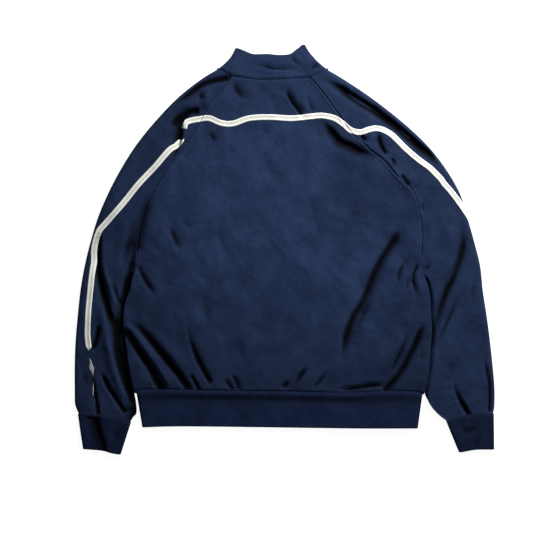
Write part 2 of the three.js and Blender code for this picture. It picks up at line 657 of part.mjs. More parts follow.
function hemRows() {
  const radius = (HEM_LEVEL - RIB / 2) / 2;
  const inset = RIB / 2 + radius;
  return sideShares(HEM_ROWS).map((share) => {
    const left = mix(HEM_SIDE_LEFT.seam, HEM_SIDE_LEFT.edge, share);
    const right = mix(HEM_SIDE_RIGHT.seam, HEM_SIDE_RIGHT.edge, share);
    const between = (line, x) => {
      const lowX = line[0][0] + 1;
      const highX = line[line.length - 1][0] - 1;
      return valueAt(line, 0, Math.min(Math.max(x, lowX), highX));
    };
    const point = (x) => mix(between(HEM_SEAM, x) - SEAM_GAP, between(HEM_EDGE, x), share);
    const centre = valueAt(ZIP_LINE, 1, mix(HEM_SEAM_Y, HEM_EDGE_Y, share));
    const underPoint = (x) => {
      const sideY = x < centre ? HEM_SEAM_Y : HEM_SEAM_Y_RIGHT;
      const seamY = mix(HEM_SEAM_Y, sideY, Math.abs(x - centre) / HEM_HALF_WIDTH) - 2 * SEAM_GAP;
      return mix(seamY, point(x), share);
    };
    const row = [];
    const put = (x, z, y) => row.push(new THREE.Vector3(x, y ?? point(x), z));
    const flank = (from, to, count) => sideShares(count).map((part) => mix(from, to, part));
    flank(centre - ZIP_HALF_WIDTH - 2 * SEAM_GAP, left + inset, HEM_UNDER_COLUMNS)
      .forEach((x) => put(x, RIB / 2, underPoint(x)));
    for (const angle of [-45, 0, 45]) {
      const bend = THREE.MathUtils.degToRad(angle);
      const x = left + inset - radius * Math.cos(bend);
      put(x, RIB / 2 + radius + radius * Math.sin(bend), Math.min(point(x), underPoint(x)));
    }
    flank(left + inset, right - inset, HEM_COLUMNS).forEach((x) => put(x, HEM_LEVEL));
    for (const angle of [45, 0, -45]) {
      const bend = THREE.MathUtils.degToRad(angle);
      const x = right - inset + radius * Math.cos(bend);
      put(x, RIB / 2 + radius + radius * Math.sin(bend), Math.min(point(x), underPoint(x)));
    }
    flank(right - inset, centre + ZIP_HALF_WIDTH + 2 * SEAM_GAP, HEM_UNDER_COLUMNS)
      .forEach((x) => put(x, RIB / 2, underPoint(x)));
    return row;
  });
}

// Stand collar: from the zip round one side under the neck, over the back and round to the zip.
function collarRows() {
  const radius = (COLLAR_LEVEL - COLLAR / 2) / 2;
  const inset = COLLAR / 2 + radius;
  return sideShares(COLLAR_ROWS).map((share) => {
    const row = [];
    const put = (x, y, z) => row.push(new THREE.Vector3(x, y, z));
    const side = (base, top, sense, reverse) => {
      const points = sideShares(COLLAR_FRONT_STEPS).map((part) => {
        const low = along(base, mix(COLLAR_FOLD_SHARE, 1, part));
        const high = along(top, mix(COLLAR_FOLD_SHARE, 1, part));
        const lowY = low[1] + 2 * SEAM_GAP;
        const x = mix(low[0] - sense * 0.5, high[0], share) - sense * inset * (1 - part) ** 4;
        return [x, mix(lowY, high[1], share)];
      });
      if (reverse) points.reverse();
      points.forEach(([x, y]) => put(x, y, COLLAR / 2 + sliderRise(x, y)));
    };
    const fold = ({ base, top }, sense, angles) => {
      const x = mix(base[0], top[0], share) - sense * COLLAR / 2;
      const y = mix(base[1] + 0.9, top[1], share);
      const bulge = sense * COLLAR_FOLD_BULGE * Math.sin(Math.PI * share);
      for (const angle of angles) {
        const bend = THREE.MathUtils.degToRad(angle);
        const reach = radius * (1 - Math.cos(bend));
        put(x - bulge - sense * reach, y, COLLAR / 2 + radius + radius * Math.sin(bend));
      }
    };
    side(FRONT_NECK_LEFT, COLLAR_TOP_LEFT, -1, true);
    fold(COLLAR_FOLD_LEFT, -1, [-45, 0, 45]);
    for (const part of sideShares(COLLAR_BACK_STEPS)) {
      const low = along(COLLAR_BASE_BACK, part);
      const high = along(COLLAR_TOP_BACK, part);
      const squeeze = mix(inset, -inset, part);
      const y = mix(low[1] + 0.5, high[1], share);
      const x = mix(low[0], high[0], share) + squeeze;
      put(x, y, COLLAR_LEVEL + collarRise(x, y) * (1 - share));
    }
    fold(COLLAR_FOLD_RIGHT, 1, [45, 0, -45]);
    side(FRONT_NECK_RIGHT, COLLAR_TOP_RIGHT, 1, false);
    return row;
  });
}

// Height of the topmost face over a point in plan.
function topOf(geometries, x, y) {
  let best = -Infinity;
  for (const geometry of geometries) {
    const position = geometry.getAttribute('position');
    const index = geometry.getIndex();
    for (let face = 0; face < index.count; face += 3) {
      const [a, b, c] = [0, 1, 2].map((corner) => index.getX(face + corner));
      const ax = position.getX(a);
      const ay = position.getY(a);
      const abX = position.getX(b) - ax;
      const abY = position.getY(b) - ay;
      const acX = position.getX(c) - ax;
      const acY = position.getY(c) - ay;
      const area = abX * acY - abY * acX;
      if (Math.abs(area) < 1e-9) continue;
      const second = ((x - ax) * acY - (y - ay) * acX) / area;
      const third = (abX * (y - ay) - abY * (x - ax)) / area;
      if (second < 0 || third < 0 || second + third > 1) continue;
      const rise = (position.getZ(b) - position.getZ(a)) * second;
      const height = position.getZ(a) + rise + (position.getZ(c) - position.getZ(a)) * third;
      best = Math.max(best, height);
    }
  }
  return best;
}

// Tape sewn on a panel: its points are the panel's own, moved out.
function tapeRows(centreLine, stations, levelAt) {
  return sideShares(stations).map((share) => {
    const point = along(centreLine, share);
    const ahead = along(centreLine, Math.min(share + 0.01, 1));
    const behind = along(centreLine, Math.max(share - 0.01, 0));
    const length = Math.hypot(ahead[0] - behind[0], ahead[1] - behind[1]);
    const acrossX = -(ahead[1] - behind[1]) / length;
    const acrossY = (ahead[0] - behind[0]) / length;
    return [-0.5, 0, 0.5].map((part) => {
      const x = point[0] + acrossX * TAPE_WIDTH * part;
      const y = point[1] + acrossY * TAPE_WIDTH * part;
      return new THREE.Vector3(x, y, levelAt(x, y) + TAPE / 2);
    });
  });
}

// Zip with its coil closed: one section carried along the zip's line.
function zipGeometry(stations) {
  const half = ZIP_THICKNESS / 2;
  const coil = COIL_THICKNESS / 2;
  const section = [
    [-ZIP_HALF_WIDTH, -half], [-COIL_HALF_WIDTH, -half], [-COIL_HALF_WIDTH, -coil],
    [COIL_HALF_WIDTH, -coil], [COIL_HALF_WIDTH, -half], [ZIP_HALF_WIDTH, -half],
    [ZIP_HALF_WIDTH, half], [COIL_HALF_WIDTH, half], [COIL_HALF_WIDTH, coil],
    [-COIL_HALF_WIDTH, coil], [-COIL_HALF_WIDTH, half], [-ZIP_HALF_WIDTH, half],
  ];
  const positions = [];
  const faces = [];
  stations.forEach((y, station) => {
    const centre = valueAt(ZIP_LINE, 1, y);
    const level = ZIP_LEVEL + sliderRise(centre, y);
    section.forEach(([across, up]) => positions.push(centre + across, y, level + up));
    if (station === 0) return;
    const base = (station - 1) * section.length;
    section.forEach((unused, corner) => {
      const next = (corner + 1) % section.length;
      const far = base + section.length;
      faces.push(base + corner, base + next, far + next, base + corner, far + next, far + corner);
    });
  });
  const outline = section.map(([across, up]) => new THREE.Vector2(across, up));
  const cap = THREE.ShapeUtils.triangulateShape(outline, []);
  const lastBase = (stations.length - 1) * section.length;
  cap.forEach(([a, b, c]) => {
    faces.push(a, c, b, lastBase + a, lastBase + b, lastBase + c);
  });
  return outward(positions, faces);
}

// Box between two corners as a solid.
function block(low, high) {
  const size = high.map((value, axis) => value - low[axis]);
  const box = new THREE.BoxGeometry(...size);
  box.translate(...high.map((value, axis) => (value + low[axis]) / 2));
  box.deleteAttribute('normal');
  box.deleteAttribute('uv');
  const merged = mergeVertices(box);
  return new wasm.Manifold(new wasm.Mesh({
    numProp: 3,
    vertProperties: new Float32Array(merged.getAttribute('position').array),
    triVerts: new Uint32Array(merged.getIndex().array),
  }));
}

function geometryOf(solid) {
  const mesh = solid.getMesh();
  const geometry = new THREE.BufferGeometry();
  geometry.setAttribute('position', new THREE.BufferAttribute(mesh.vertProperties, 3));
  geometry.setIndex(new THREE.BufferAttribute(mesh.triVerts, 1));
  return geometry;
}

// Slider: two plates either side of the coil, joined by a neck at the top, with a bail underneath
// that holds the pull's eye.
const coilBottom = ZIP_LEVEL + SLIDER_LIFT - COIL_THICKNESS / 2;
const coilTop = ZIP_LEVEL + SLIDER_LIFT + COIL_THICKNESS / 2;
const plateTop = coilBottom - RUNNING_GAP;
const plateBottom = plateTop - SLIDER_PLATE;
const pullTop = plateBottom - RUNNING_GAP;
const pullBottom = pullTop - PULL_THICKNESS;
const bailTop = pullBottom - RUNNING_GAP;
const sliderX = valueAt(ZIP_LINE, 1, ZIP_TOP - SLIDER_BELOW_TOP);
const sliderTopY = ZIP_TOP + SEAM_GAP + SLIDER_NECK;
const sliderLowY = sliderTopY - SLIDER_LENGTH;
const bailMiddleY = (sliderTopY + sliderLowY) / 2;

function sliderGeometry() {
  const half = SLIDER_WIDTH / 2;
  const bailHalf = BAIL_WIDTH / 2;
  const bailLowY = bailMiddleY - BAIL_LENGTH / 2;
  const bailHighY = bailMiddleY + BAIL_LENGTH / 2;
  const plates = block([sliderX - half, sliderLowY, plateBottom], [sliderX + half, sliderTopY, plateTop])
    .add(block(
      [sliderX - half, sliderLowY, coilTop + RUNNING_GAP],
      [sliderX + half, sliderTopY, coilTop + RUNNING_GAP + SLIDER_PLATE],
    ));
  const neck = block(
    [sliderX - bailHalf, sliderTopY - SLIDER_NECK, plateTop - SLIDER_PLATE / 2],
    [sliderX + bailHalf, sliderTopY, coilTop + RUNNING_GAP + SLIDER_PLATE / 2],
  );
  const bar = block(
    [sliderX - bailHalf, bailLowY, bailTop - BAIL_BAR],
    [sliderX + bailHalf, bailHighY, bailTop],
  );
  const legs = [bailLowY, bailHighY - BAIL_LEG].map((y) => block(
    [sliderX - bailHalf, y, bailTop - BAIL_BAR],
    [sliderX + bailHalf, y + BAIL_LEG, plateBottom + SLIDER_PLATE / 2],
  ));
  return geometryOf(plates.add(neck).add(bar).add(legs[0]).add(legs[1]));
}

// Pull tab: its cross bar lies in the bail, and the tab lies back along the zip.
function pullGeometry() {
  const half = PULL_WIDTH / 2;
  const eyeHalf = PULL_EYE_WIDTH / 2;
  const pivotY = bailMiddleY - BAIL_LENGTH / 2 + BAIL_LEG + RUNNING_GAP + PULL_THICKNESS / 2 + 0.1;
  const endY = pivotY + PULL_THICKNESS / 2;
  const eyeTopY = pivotY - PULL_THICKNESS / 2;
  const tab = block([sliderX - half, endY - PULL_LENGTH, pullBottom], [sliderX + half, endY, pullTop]);
  const eye = block(
    [sliderX - eyeHalf, eyeTopY - PULL_EYE_LENGTH, pullBottom - 1],
    [sliderX + eyeHalf, eyeTopY, pullTop + 1],
  );
  return geometryOf(tab.subtract(eye));
}

function material(colour, roughness, metalness = 0) {
  return new THREE.MeshStandardMaterial({ color: colour, roughness, metalness });
}

const jacket = new THREE.Group();
const clothMaterial = material('#1d2b49', 0.85);
const ribMaterial = material('#141f38', 0.9);
const tapeMaterial = material('#e4e4de', 0.7);
const zipMaterial = material('#1a2440', 0.8);
const metalMaterial = material('#8d9096', 0.35, 0.9);

function add(name, geometry, surface) {
  const mesh = new THREE.Mesh(geometry, surface);
  mesh.name = name;
  jacket.add(mesh);
  return geometry;
}

const back = add('back_panel', sheet(backRows(), CLOTH), clothMaterial);
add('front_left', sheet(frontRows(-1), CLOTH), clothMaterial);
add('front_right', sheet(frontRows(1), CLOTH), clothMaterial);
const leftRows = sleeveRows(-1);
const rightRows = sleeveRows(1);
const leftSleeve = add('sleeve_left', sheet(leftRows, CLOTH), clothMaterial);
const rightSleeve = add('sleeve_right', sheet(rightRows, CLOTH), clothMaterial);
add('cuff_left', sheet(cuffRows(CUFF_SEAM_LEFT, CUFF_EDGE_LEFT), RIB, { ring: true }), ribMaterial);
add('cuff_right', sheet(cuffRows(CUFF_SEAM_RIGHT, CUFF_EDGE_RIGHT), RIB, { ring: true }), ribMaterial);
add('hem_band', sheet(hemRows(), RIB), ribMaterial);
add('collar', sheet(collarRows(), COLLAR), clothMaterial);

// Highest panel face at a point or just beside it, which also bridges the seams.
const panels = [back, leftSleeve, rightSleeve];
const panelLevel = (x, y) => {
  const heights = [-1, 0, 1].map((step) => topOf(panels, x + step, y));
  return Math.max(...heights) + LAYER_GAP;
};
add('stripe_back', sheet(tapeRows(TAPE_BACK, 34, panelLevel), TAPE), tapeMaterial);
add('stripe_sleeve_left', sheet(tapeRows(TAPE_LEFT, 46, panelLevel), TAPE), tapeMaterial);
add('stripe_sleeve_right', sheet(tapeRows(TAPE_RIGHT, 30, panelLevel), TAPE), tapeMaterial);
add('stripe_sleeve_right_under', sheet(tapeRows(TAPE_RIGHT_UNDER, 18, () => 0), TAPE), tapeMaterial);

add('zip', zipGeometry(ZIP_STATIONS), zipMaterial);
add('zip_slider', sliderGeometry(), metalMaterial);
add('zip_pull', pullGeometry(), metalMaterial);

export default jacket;
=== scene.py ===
"""A navy track jacket laid flat on its front, seen from its back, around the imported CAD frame.

Lengths in the tables are millimetres in the frame's axes: X across the shoulders, Y up the back to
the collar, Z up from the floor. Meshes are made in metres.
"""

import math
from typing import NamedTuple

import bpy
import numpy as np
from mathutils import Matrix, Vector
from mathutils.bvhtree import BVHTree


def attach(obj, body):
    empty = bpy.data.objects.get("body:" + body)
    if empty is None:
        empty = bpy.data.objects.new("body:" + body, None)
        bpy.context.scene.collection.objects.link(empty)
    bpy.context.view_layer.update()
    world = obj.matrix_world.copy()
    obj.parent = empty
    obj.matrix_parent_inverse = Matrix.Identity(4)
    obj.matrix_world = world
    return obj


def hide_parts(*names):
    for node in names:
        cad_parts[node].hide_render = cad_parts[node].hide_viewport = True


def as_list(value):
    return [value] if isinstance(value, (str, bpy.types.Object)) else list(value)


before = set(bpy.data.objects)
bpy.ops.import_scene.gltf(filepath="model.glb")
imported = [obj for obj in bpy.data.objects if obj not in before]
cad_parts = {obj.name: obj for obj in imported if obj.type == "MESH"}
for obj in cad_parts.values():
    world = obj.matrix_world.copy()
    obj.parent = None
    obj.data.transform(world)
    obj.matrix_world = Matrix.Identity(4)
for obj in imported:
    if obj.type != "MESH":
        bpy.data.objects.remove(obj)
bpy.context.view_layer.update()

MM = 0.001

# Thickness of the ribbed bands and the collar, and the heights of the cloth's middle surface.
RIB = 2.4
COLLAR = 2.6
FLOOR_LAYER = 0.7
BODY_LEVEL = 11.0
SLEEVE_LEVEL = 10.6
HEM_LEVEL = 8.4
CUFF_LEVEL = 8.0
COLLAR_LEVEL = 9.6
LOWEST_TOP = 2.3
# The y of the armpits, of the hem seam beside the zip and of the lower end of the sides.
ARMPIT = -24
HEM_Y = -269
SIDE_END = -271
FOLD_GAIN = 1.3
# Folds that rise less than this are faint: broader than their table says, and fading all along.
FAINT_RISE = 3.1
FAINT_SPREAD = 1.55
MAIN_SPREAD = 1.12
FAINT_FADE = 0.45
# Seam allowances that go in under the next piece, and the layers that drop to do so.
ALLOWANCE = 4.0
TUCK_ABOVE = 4.5
TUCK_DROP = 2.4
ROLL_LEVEL = 4.2
ROLL_TOP_REACH = 8.0
ROLL_UNDER_REACH = 4.0
CUFF_SEAM_BOW = 5.0
ZIP_HALF_WIDTH = 7.0
SLIDER_LIFT = 3.35
# Distances of the lines of stitches from the seams.
RAGLAN_STITCH = 6.2
BAND_STITCH = 4.5
COLLAR_STITCH = 8.6

# Edges of the pieces in plan. Columns: x, y.
RAGLAN_LEFT = [
    (-103.5, 328), (-119, 301), (-136, 284), (-153, 257), (-165, 235), (-185, 202), (-199, 181),
    (-218, 157), (-235, 132), (-256, 97), (-266, 67), (-274, 35), (-278, 5), (-279, -24),
]
RAGLAN_RIGHT = [
    (48.5, 325), (73, 296), (93, 268), (109, 246), (123, 224), (144, 205), (168, 183),
    (189, 167), (214, 138), (236, 119), (250, 95), (257, 60), (260, 18), (258, -24),
]
FRONT_RAGLAN_LEFT = [
    (-111, 305), (-134, 270), (-160, 230), (-192, 185), (-225, 140), (-253, 90), (-271, 35), (-279, -24),
]
FRONT_RAGLAN_RIGHT = [
    (66, 305), (91, 270), (120, 230), (160, 185), (205, 140), (237, 90), (255, 35), (258, -24),
]
SIDE_LEFT = [
    (-279, -24), (-282, -39), (-287, -58), (-291, -77), (-299, -97), (-303, -120), (-302, -153),
    (-298, -181), (-294, -210), (-288, -248), (-284, -269),
]
SIDE_RIGHT = [
    (258, -24), (260, -43), (266, -60), (270, -75), (273, -97), (275, -126), (276, -153),
    (274, -193), (272, -221), (268, -248), (263, -271),
]
UNDERARM_LEFT = [
    (-279, -24), (-283.5, -39), (-283, -58), (-284, -77), (-288, -120), (-289, -153), (-288.5, -181),
    (-288.5, -210), (-290, -248), (-286, -269), (-282, -290), (-281, -310), (-287, -318), (-293, -328),
]
UNDERARM_RIGHT = [
    (258, -24), (261.5, -43), (261, -60), (262, -75), (264, -126), (266, -153), (266, -193),
    (267, -221), (270, -248), (266, -271), (272, -286), (280, -300), (294, -315), (308, -325),
]
# OUTER_LEFT and OUTER_RIGHT are traced: a program listed the silhouette in the photograph, and most of
# these points are from that list, in millimetres. They should be redrawn here and in the CAD with the
# few points or arcs that the shape needs.
OUTER_LEFT = [
    (-128, 341), (-159, 322), (-202, 288), (-246, 242), (-282, 197), (-311, 151), (-335, 105),
    (-354, 60), (-368, 14), (-379, -31), (-387, -77), (-392, -123), (-396, -168), (-398, -215),
    (-398, -271), (-397, -294), (-390, -312),
]
OUTER_RIGHT = [
    (83, 340), (113, 322), (164, 288), (223, 242), (271, 197), (307, 151), (333, 105),
    (347, 60), (360, 14), (371, -31), (376, -77), (383, -123), (389, -168), (394, -214),
    (398, -259), (398, -297), (395, -311),
]
BACK_NECK = [(-103.5, 328), (-75, 324), (-48, 321), (-3, 322), (25, 323.5), (48.5, 325)]
FRONT_NECK_LEFT = [(-128, 341), (-111, 305), (-92, 282), (-64, 262), (-31, 251)]
FRONT_NECK_RIGHT = [(83, 340), (66, 305), (47, 282), (20, 262), (-13, 251)]
HEM_SEAM = [
    (-284, -269), (-255, -265), (-160, -267), (-10, -269), (105, -272), (172, -269), (215, -268),
    (248, -270), (263, -273),
]
HEM_EDGE = [(-270, -336), (-197, -334), (-10, -336), (140, -338), (253, -338)]
CUFF_SEAM_LEFT = [(-390, -312), (-293, -328)]
CUFF_EDGE_LEFT = [(-382, -377), (-352, -380), (-333, -384), (-312, -388)]
CUFF_SEAM_RIGHT = [(308, -325), (395, -311)]
CUFF_EDGE_RIGHT = [(331, -384), (357, -379), (376, -378), (396, -378)]
COLLAR_TOP_BACK = [
    (-94, 380), (-80, 375), (-62, 369), (-33, 369), (-11, 367), (12, 368.5), (26, 377), (39.5, 386.5),
]
COLLAR_BASE_BACK = [
    (-125, 340), (-113, 333.5), (-100, 328.5), (-75, 324.5), (-48, 321.5), (-3, 322.5), (44, 325.5),
    (62, 331), (80, 339),
]
COLLAR_TOP_LEFT = [(-94, 380), (-88, 352), (-70, 326), (-50, 313), (-30, 307)]
COLLAR_TOP_RIGHT = [(39.5, 386.5), (42, 352), (28, 326), (8, 313), (-13, 307)]
ZIP_LINE = [(-8, -337), (-12, -269), (-17, -24), (-22, 251), (-21.5, 307)]

# Centre lines of the tape.
TAPE_BACK = [
    (-190, 229), (-188, 238), (-181, 243), (-163, 246.5), (-143, 248), (-120, 239), (-98, 238),
    (-67, 248), (-28, 250), (13, 248), (45, 251), (69, 253), (88, 250), (98, 246), (111, 237),
    (120, 229), (132, 223), (146, 222), (157, 226), (172, 229), (186, 226), (202, 217), (217, 203),
    (231, 189), (252, 171), (275, 154), (295, 134),
]
# The right sleeve's stripe from there, round the sleeve's edge and down its underside. Columns: y of
# the edge beside it, and its distance in from the edge along the cloth, negative underneath.
TAPE_ROUND_EDGE = [
    (134, 22.4), (100, 14), (82, 8), (68, 3), (54, -3), (40, -10), (24, -19), (5, -26), (-31, -30),
    (-77, -30), (-168, -29), (-259, -29), (-304, -29),
]
TAPE_LEFT = [
    (-193, 220), (-196, 207), (-206, 196), (-219, 187), (-246, 156), (-276, 124), (-309, 83),
    (-341, 47), (-351, 35), (-358, 16), (-361, -4), (-361, -23), (-364, -43), (-367, -71),
    (-370, -101), (-372, -130), (-373, -161), (-371, -183), (-370, -205), (-366, -225), (-363, -245),
    (-363, -262), (-362, -280),
]


class Fold(NamedTuple):
    """A crease along a path: its rise (negative for a trough), its half widths to the left and right
    of the way along it, its points, how sharply it is shaped, and how it fades at both ends."""

    rise: float
    left: float
    right: float
    path: list
    power: float = 2.0
    fade_in: float = 0.3
    fade_out: float = 0.3


# Folds that both the back and the sleeves share above the armpits.
SHOULDER_FOLDS = [
    # Left shoulder: the trough along its edge, the rolls beside it and the pocket below them.
    Fold(-4.8, 6, 4.5, [(-98, 327), (-136, 319), (-158, 311), (-174, 300), (-190, 287), (-207, 273),
                        (-224, 250)], fade_in=0.08, fade_out=0.6),
    Fold(-2.6, 4, 4, [(-160, 302), (-157, 290), (-154, 278)]),
    Fold(2.6, 7, 6, [(-138, 306), (-149, 284), (-154, 266)]),
    Fold(3.0, 6, 6, [(-160, 280), (-182, 272), (-210, 252)]),
    Fold(-6.0, 6, 4, [(-160, 263), (-177, 262), (-190, 253), (-207, 242), (-222, 234)], fade_in=0.15,
         fade_out=0.5),
    # The pleat that breaks the tape.
    Fold(-5.5, 1.6, 15, [(-176, 262), (-187, 254), (-193, 243), (-194.5, 228), (-196, 210), (-201, 192),
                         (-213, 170), (-232, 142)], fade_in=0.2, fade_out=0.5),
    # Valley along the lower half of the left raglan seam.
    Fold(-4.2, 9, 9, [(-245, 118), (-256, 97), (-265, 70), (-271, 45), (-277, 18), (-281, -10)],
         fade_in=0.4, fade_out=0.15),
    # Right shoulder: the long trough, the seam's ridge and the valley on its inner side.
    Fold(-7.5, 4, 9, [(66, 323), (105, 307), (127, 292), (149, 278), (170, 265), (192, 249), (211, 235),
                      (233, 216), (255, 197), (274, 181), (288, 162), (301, 140)],
         fade_in=0.15, fade_out=0.3),
    Fold(-6.2, 4, 12, [(66, 242), (89, 225), (105, 206), (127, 196), (149, 184), (176, 169)],
         fade_in=0.25, fade_out=0.35),
    Fold(2.4, 5, 5, [(74, 245), (105, 220), (127, 209), (149, 202), (170, 191), (187, 178), (203, 163),
                     (212, 143), (228, 125), (246, 102), (255, 78), (258, 56), (256, 31), (253, 2)],
         fade_in=0.1, fade_out=0.15),
    Fold(-4.2, 3, 4.5, [(177, 222), (181, 203), (187, 188), (198, 177)]),
    Fold(-3.2, 4, 4, [(143, 216), (149, 211), (152, 203)]),
    Fold(2.6, 7, 7, [(158, 215), (165, 211), (172, 204)]),
    Fold(-3.2, 3.5, 3.5, [(201, 174), (206, 166), (208, 157)]),
    Fold(-3.6, 3, 4, [(219, 143), (228, 131), (239, 118)]),
    Fold(2.0, 6, 6, [(234, 142), (241, 132), (247, 118)]),
    Fold(-1.5, 4, 4, [(257, 92), (260, 80), (259, 66)]),
]

# Folds of the back alone.
BODY_FOLDS = [
    # Yoke.
    Fold(-2.4, 5, 5, [(-99, 326), (-88, 299), (-71, 280)]),
    Fold(-1.0, 5, 5, [(-134, 311), (-112, 295)]),
    Fold(-1.2, 6, 6, [(-58, 308), (-42, 300), (-28, 293)]),
    Fold(-1.4, 6, 5, [(-30, 307), (-4, 303), (10, 284)]),
    Fold(-4.4, 8, 2.6, [(2, 304), (12, 281), (26, 262), (38, 243)], fade_in=0.3, fade_out=0.35),
    Fold(-1.9, 5, 3, [(40, 288), (50, 270), (57, 252)]),
    Fold(-1.8, 5, 4, [(-142, 226), (-136, 213), (-130, 200)]),
    Fold(-1.2, 7, 7, [(-178, 199), (-186, 182), (-194, 166)]),
    Fold(-0.9, 6, 6, [(-145, 172), (-128, 172), (-110, 178)]),
    Fold(-0.9, 6, 6, [(-66, 224), (-60, 202), (-55, 180)]),
    Fold(-1.0, 5, 4, [(-47, 237), (-36, 224), (-26, 214)]),
    Fold(-0.8, 6, 6, [(-66, 139), (-48, 149), (-30, 158)]),
    Fold(-1.3, 6, 5, [(58, 246), (64, 220), (68, 194)]),
    # Right half.
    Fold(-3.5, 14, 7, [(222, 48), (212, 28), (197, 4), (180, -23), (166, -52), (155, -80), (144, -104),
                         (131, -124), (120, -150), (114, -176), (112, -207), (113, -240)],
         fade_in=0.15, fade_out=0.25),
    Fold(-1.3, 5, 2.5, [(178, -69), (162, -100), (147, -129), (136, -161), (128, -208)]),
    Fold(-2.2, 2.5, 4, [(237, -12), (223, -33), (217, -52), (218, -74)]),
    Fold(-1.6, 2, 2.5, [(235, -48), (233, -64), (232, -80)]),
    Fold(-3.2, 3, 2.5, [(258, -17), (249, -35), (244, -48), (244, -64), (252, -90)]),
    Fold(1.6, 3, 3, [(253, -42), (254, -64), (260, -90)]),
    Fold(-4.2, 9, 5, [(276, -126), (258, -152), (247, -177), (233, -204), (219, -229), (203, -251),
                      (188, -269)], fade_in=0.3, fade_out=0.03),
    Fold(-2.8, 4, 3, [(240, -140), (228, -175), (214, -207), (203, -229), (189, -254)]),
    Fold(2.2, 4, 4, [(249, -142), (237, -176), (223, -206), (209, -233), (194, -258)]),
    Fold(-1.3, 4, 4, [(262, -178), (260, -198), (258, -220)]),
    Fold(-3.2, 4, 6, [(90, -265), (124, -264), (157, -259), (190, -255)], fade_in=0.4, fade_out=0.2),
    Fold(-3.0, 3, 4, [(47, -216), (36, -232), (27, -245), (15, -264)]),
    Fold(-2.2, 3, 3, [(85, -224), (67, -248), (53, -266)]),
    Fold(-3.0, 3, 4, [(9, -248), (2, -257), (-6, -265)]),
    # Lower left: the fan of creases from the side to the hem.
    Fold(-7.0, 8, 4, [(-306, -148), (-288, -177), (-272, -202), (-256, -226), (-245, -249),
                      (-232, -269)], fade_in=0.12, fade_out=0.03),
    Fold(-6.6, 8, 4, [(-296, -131), (-277, -147), (-256, -172), (-234, -199), (-212, -226),
                      (-194, -250), (-182, -269)], fade_in=0.45, fade_out=0.03),
    Fold(3.2, 5, 5, [(-302, -140), (-280, -166), (-256, -198), (-233, -231), (-217, -260)],
         fade_in=0.1, fade_out=0.1),
    Fold(2.2, 8, 7, [(-256, -153), (-218, -195), (-186, -234)]),
    Fold(-4.4, 6, 3, [(-186, -134), (-178, -172), (-167, -205), (-156, -227), (-139, -257)],
         fade_in=0.6, fade_out=0.08),
    Fold(-3.6, 3, 4, [(-179, -234), (-170, -250), (-161, -269)], fade_out=0.05),
    Fold(-2.6, 2.5, 3, [(-113, -243), (-98, -266)], fade_out=0.05),
    Fold(-2.6, 2.5, 3, [(-102, -236), (-93, -246), (-86, -265)], fade_out=0.05),
    Fold(-1.3, 10, 7, [(-158, -78), (-147, -115), (-141, -170)]),
    Fold(1.3, 10, 10, [(-190, -64), (-170, -130), (-155, -196)]),
    Fold(-2.8, 4, 3, [(-284, -12), (-263, -60), (-237, -91)]),
    Fold(-2.0, 6, 4, [(-218, 54), (-208, 22), (-192, -8)]),
    Fold(-1.1, 5, 5, [(-197, 60), (-171, 36)]),
    Fold(-1.1, 7, 6, [(-124, 78), (-122, 40), (-116, 5), (-100, -33)]),
    Fold(-1.0, 9, 9, [(-236, -56), (-196, -72)]),
    Fold(-0.8, 10, 10, [(-164, -60), (-96, -66)]),
    Fold(-0.6, 8, 8, [(-70, -12), (-12, -13)]),
    Fold(-1.1, 9, 9, [(-100, -166), (-84, -192), (-70, -214)]),
]

LEFT_SLEEVE_FOLDS = [
    Fold(-2.6, 5, 7, [(-282, 86), (-288, 37), (-295, 2), (-306, -46)]),
    Fold(-6.5, 4, 8, [(-349, 34), (-352, -2), (-350, -34), (-345, -63), (-337, -99), (-329, -128),
                      (-320, -154)], fade_in=0.15, fade_out=0.25),
    Fold(3.4, 5, 5, [(-346, -10), (-340, -44), (-326, -82), (-313, -110)], fade_in=0.4),
    Fold(-4.6, 3, 3, [(-325, -62), (-318, -90), (-307, -104), (-302, -120)]),
    Fold(-4.0, 6, 6, [(-276, 30), (-285, -12), (-294, -44), (-302, -77), (-303, -100)], fade_in=0.3,
         fade_out=0.15),
    Fold(-1.3, 5, 5, [(-294, 28), (-300, -8), (-308, -46)]),
    Fold(-1.0, 5, 5, [(-321, 24), (-321, -34)]),
    Fold(4.0, 3.5, 8, [(-344, -92), (-338, -153), (-327, -207), (-313, -251), (-296, -284),
                       (-287, -302)], fade_in=0.15, fade_out=0.1),
    Fold(-5.5, 8, 8, [(-320, -118), (-318, -172), (-311, -219), (-301, -257), (-288, -297)],
         fade_in=0.15, fade_out=0.1),
    Fold(-5.2, 4, 3, [(-349, -230), (-334, -261), (-318, -286), (-301, -312)], fade_out=0.1),
    Fold(-4.8, 4, 3, [(-351, -142), (-356, -166), (-365, -192)]),
    Fold(-3.6, 3, 3, [(-364, -238), (-361, -261), (-356, -289), (-353, -314)], fade_out=0.05),
    Fold(-1.6, 5, 5, [(-381, -224), (-369, -266)]),
    Fold(-1.1, 9, 9, [(-246, 196), (-268, 166), (-292, 122)]),
    Fold(0.9, 8, 8, [(-300, 142), (-326, 92), (-344, 58)]),
]

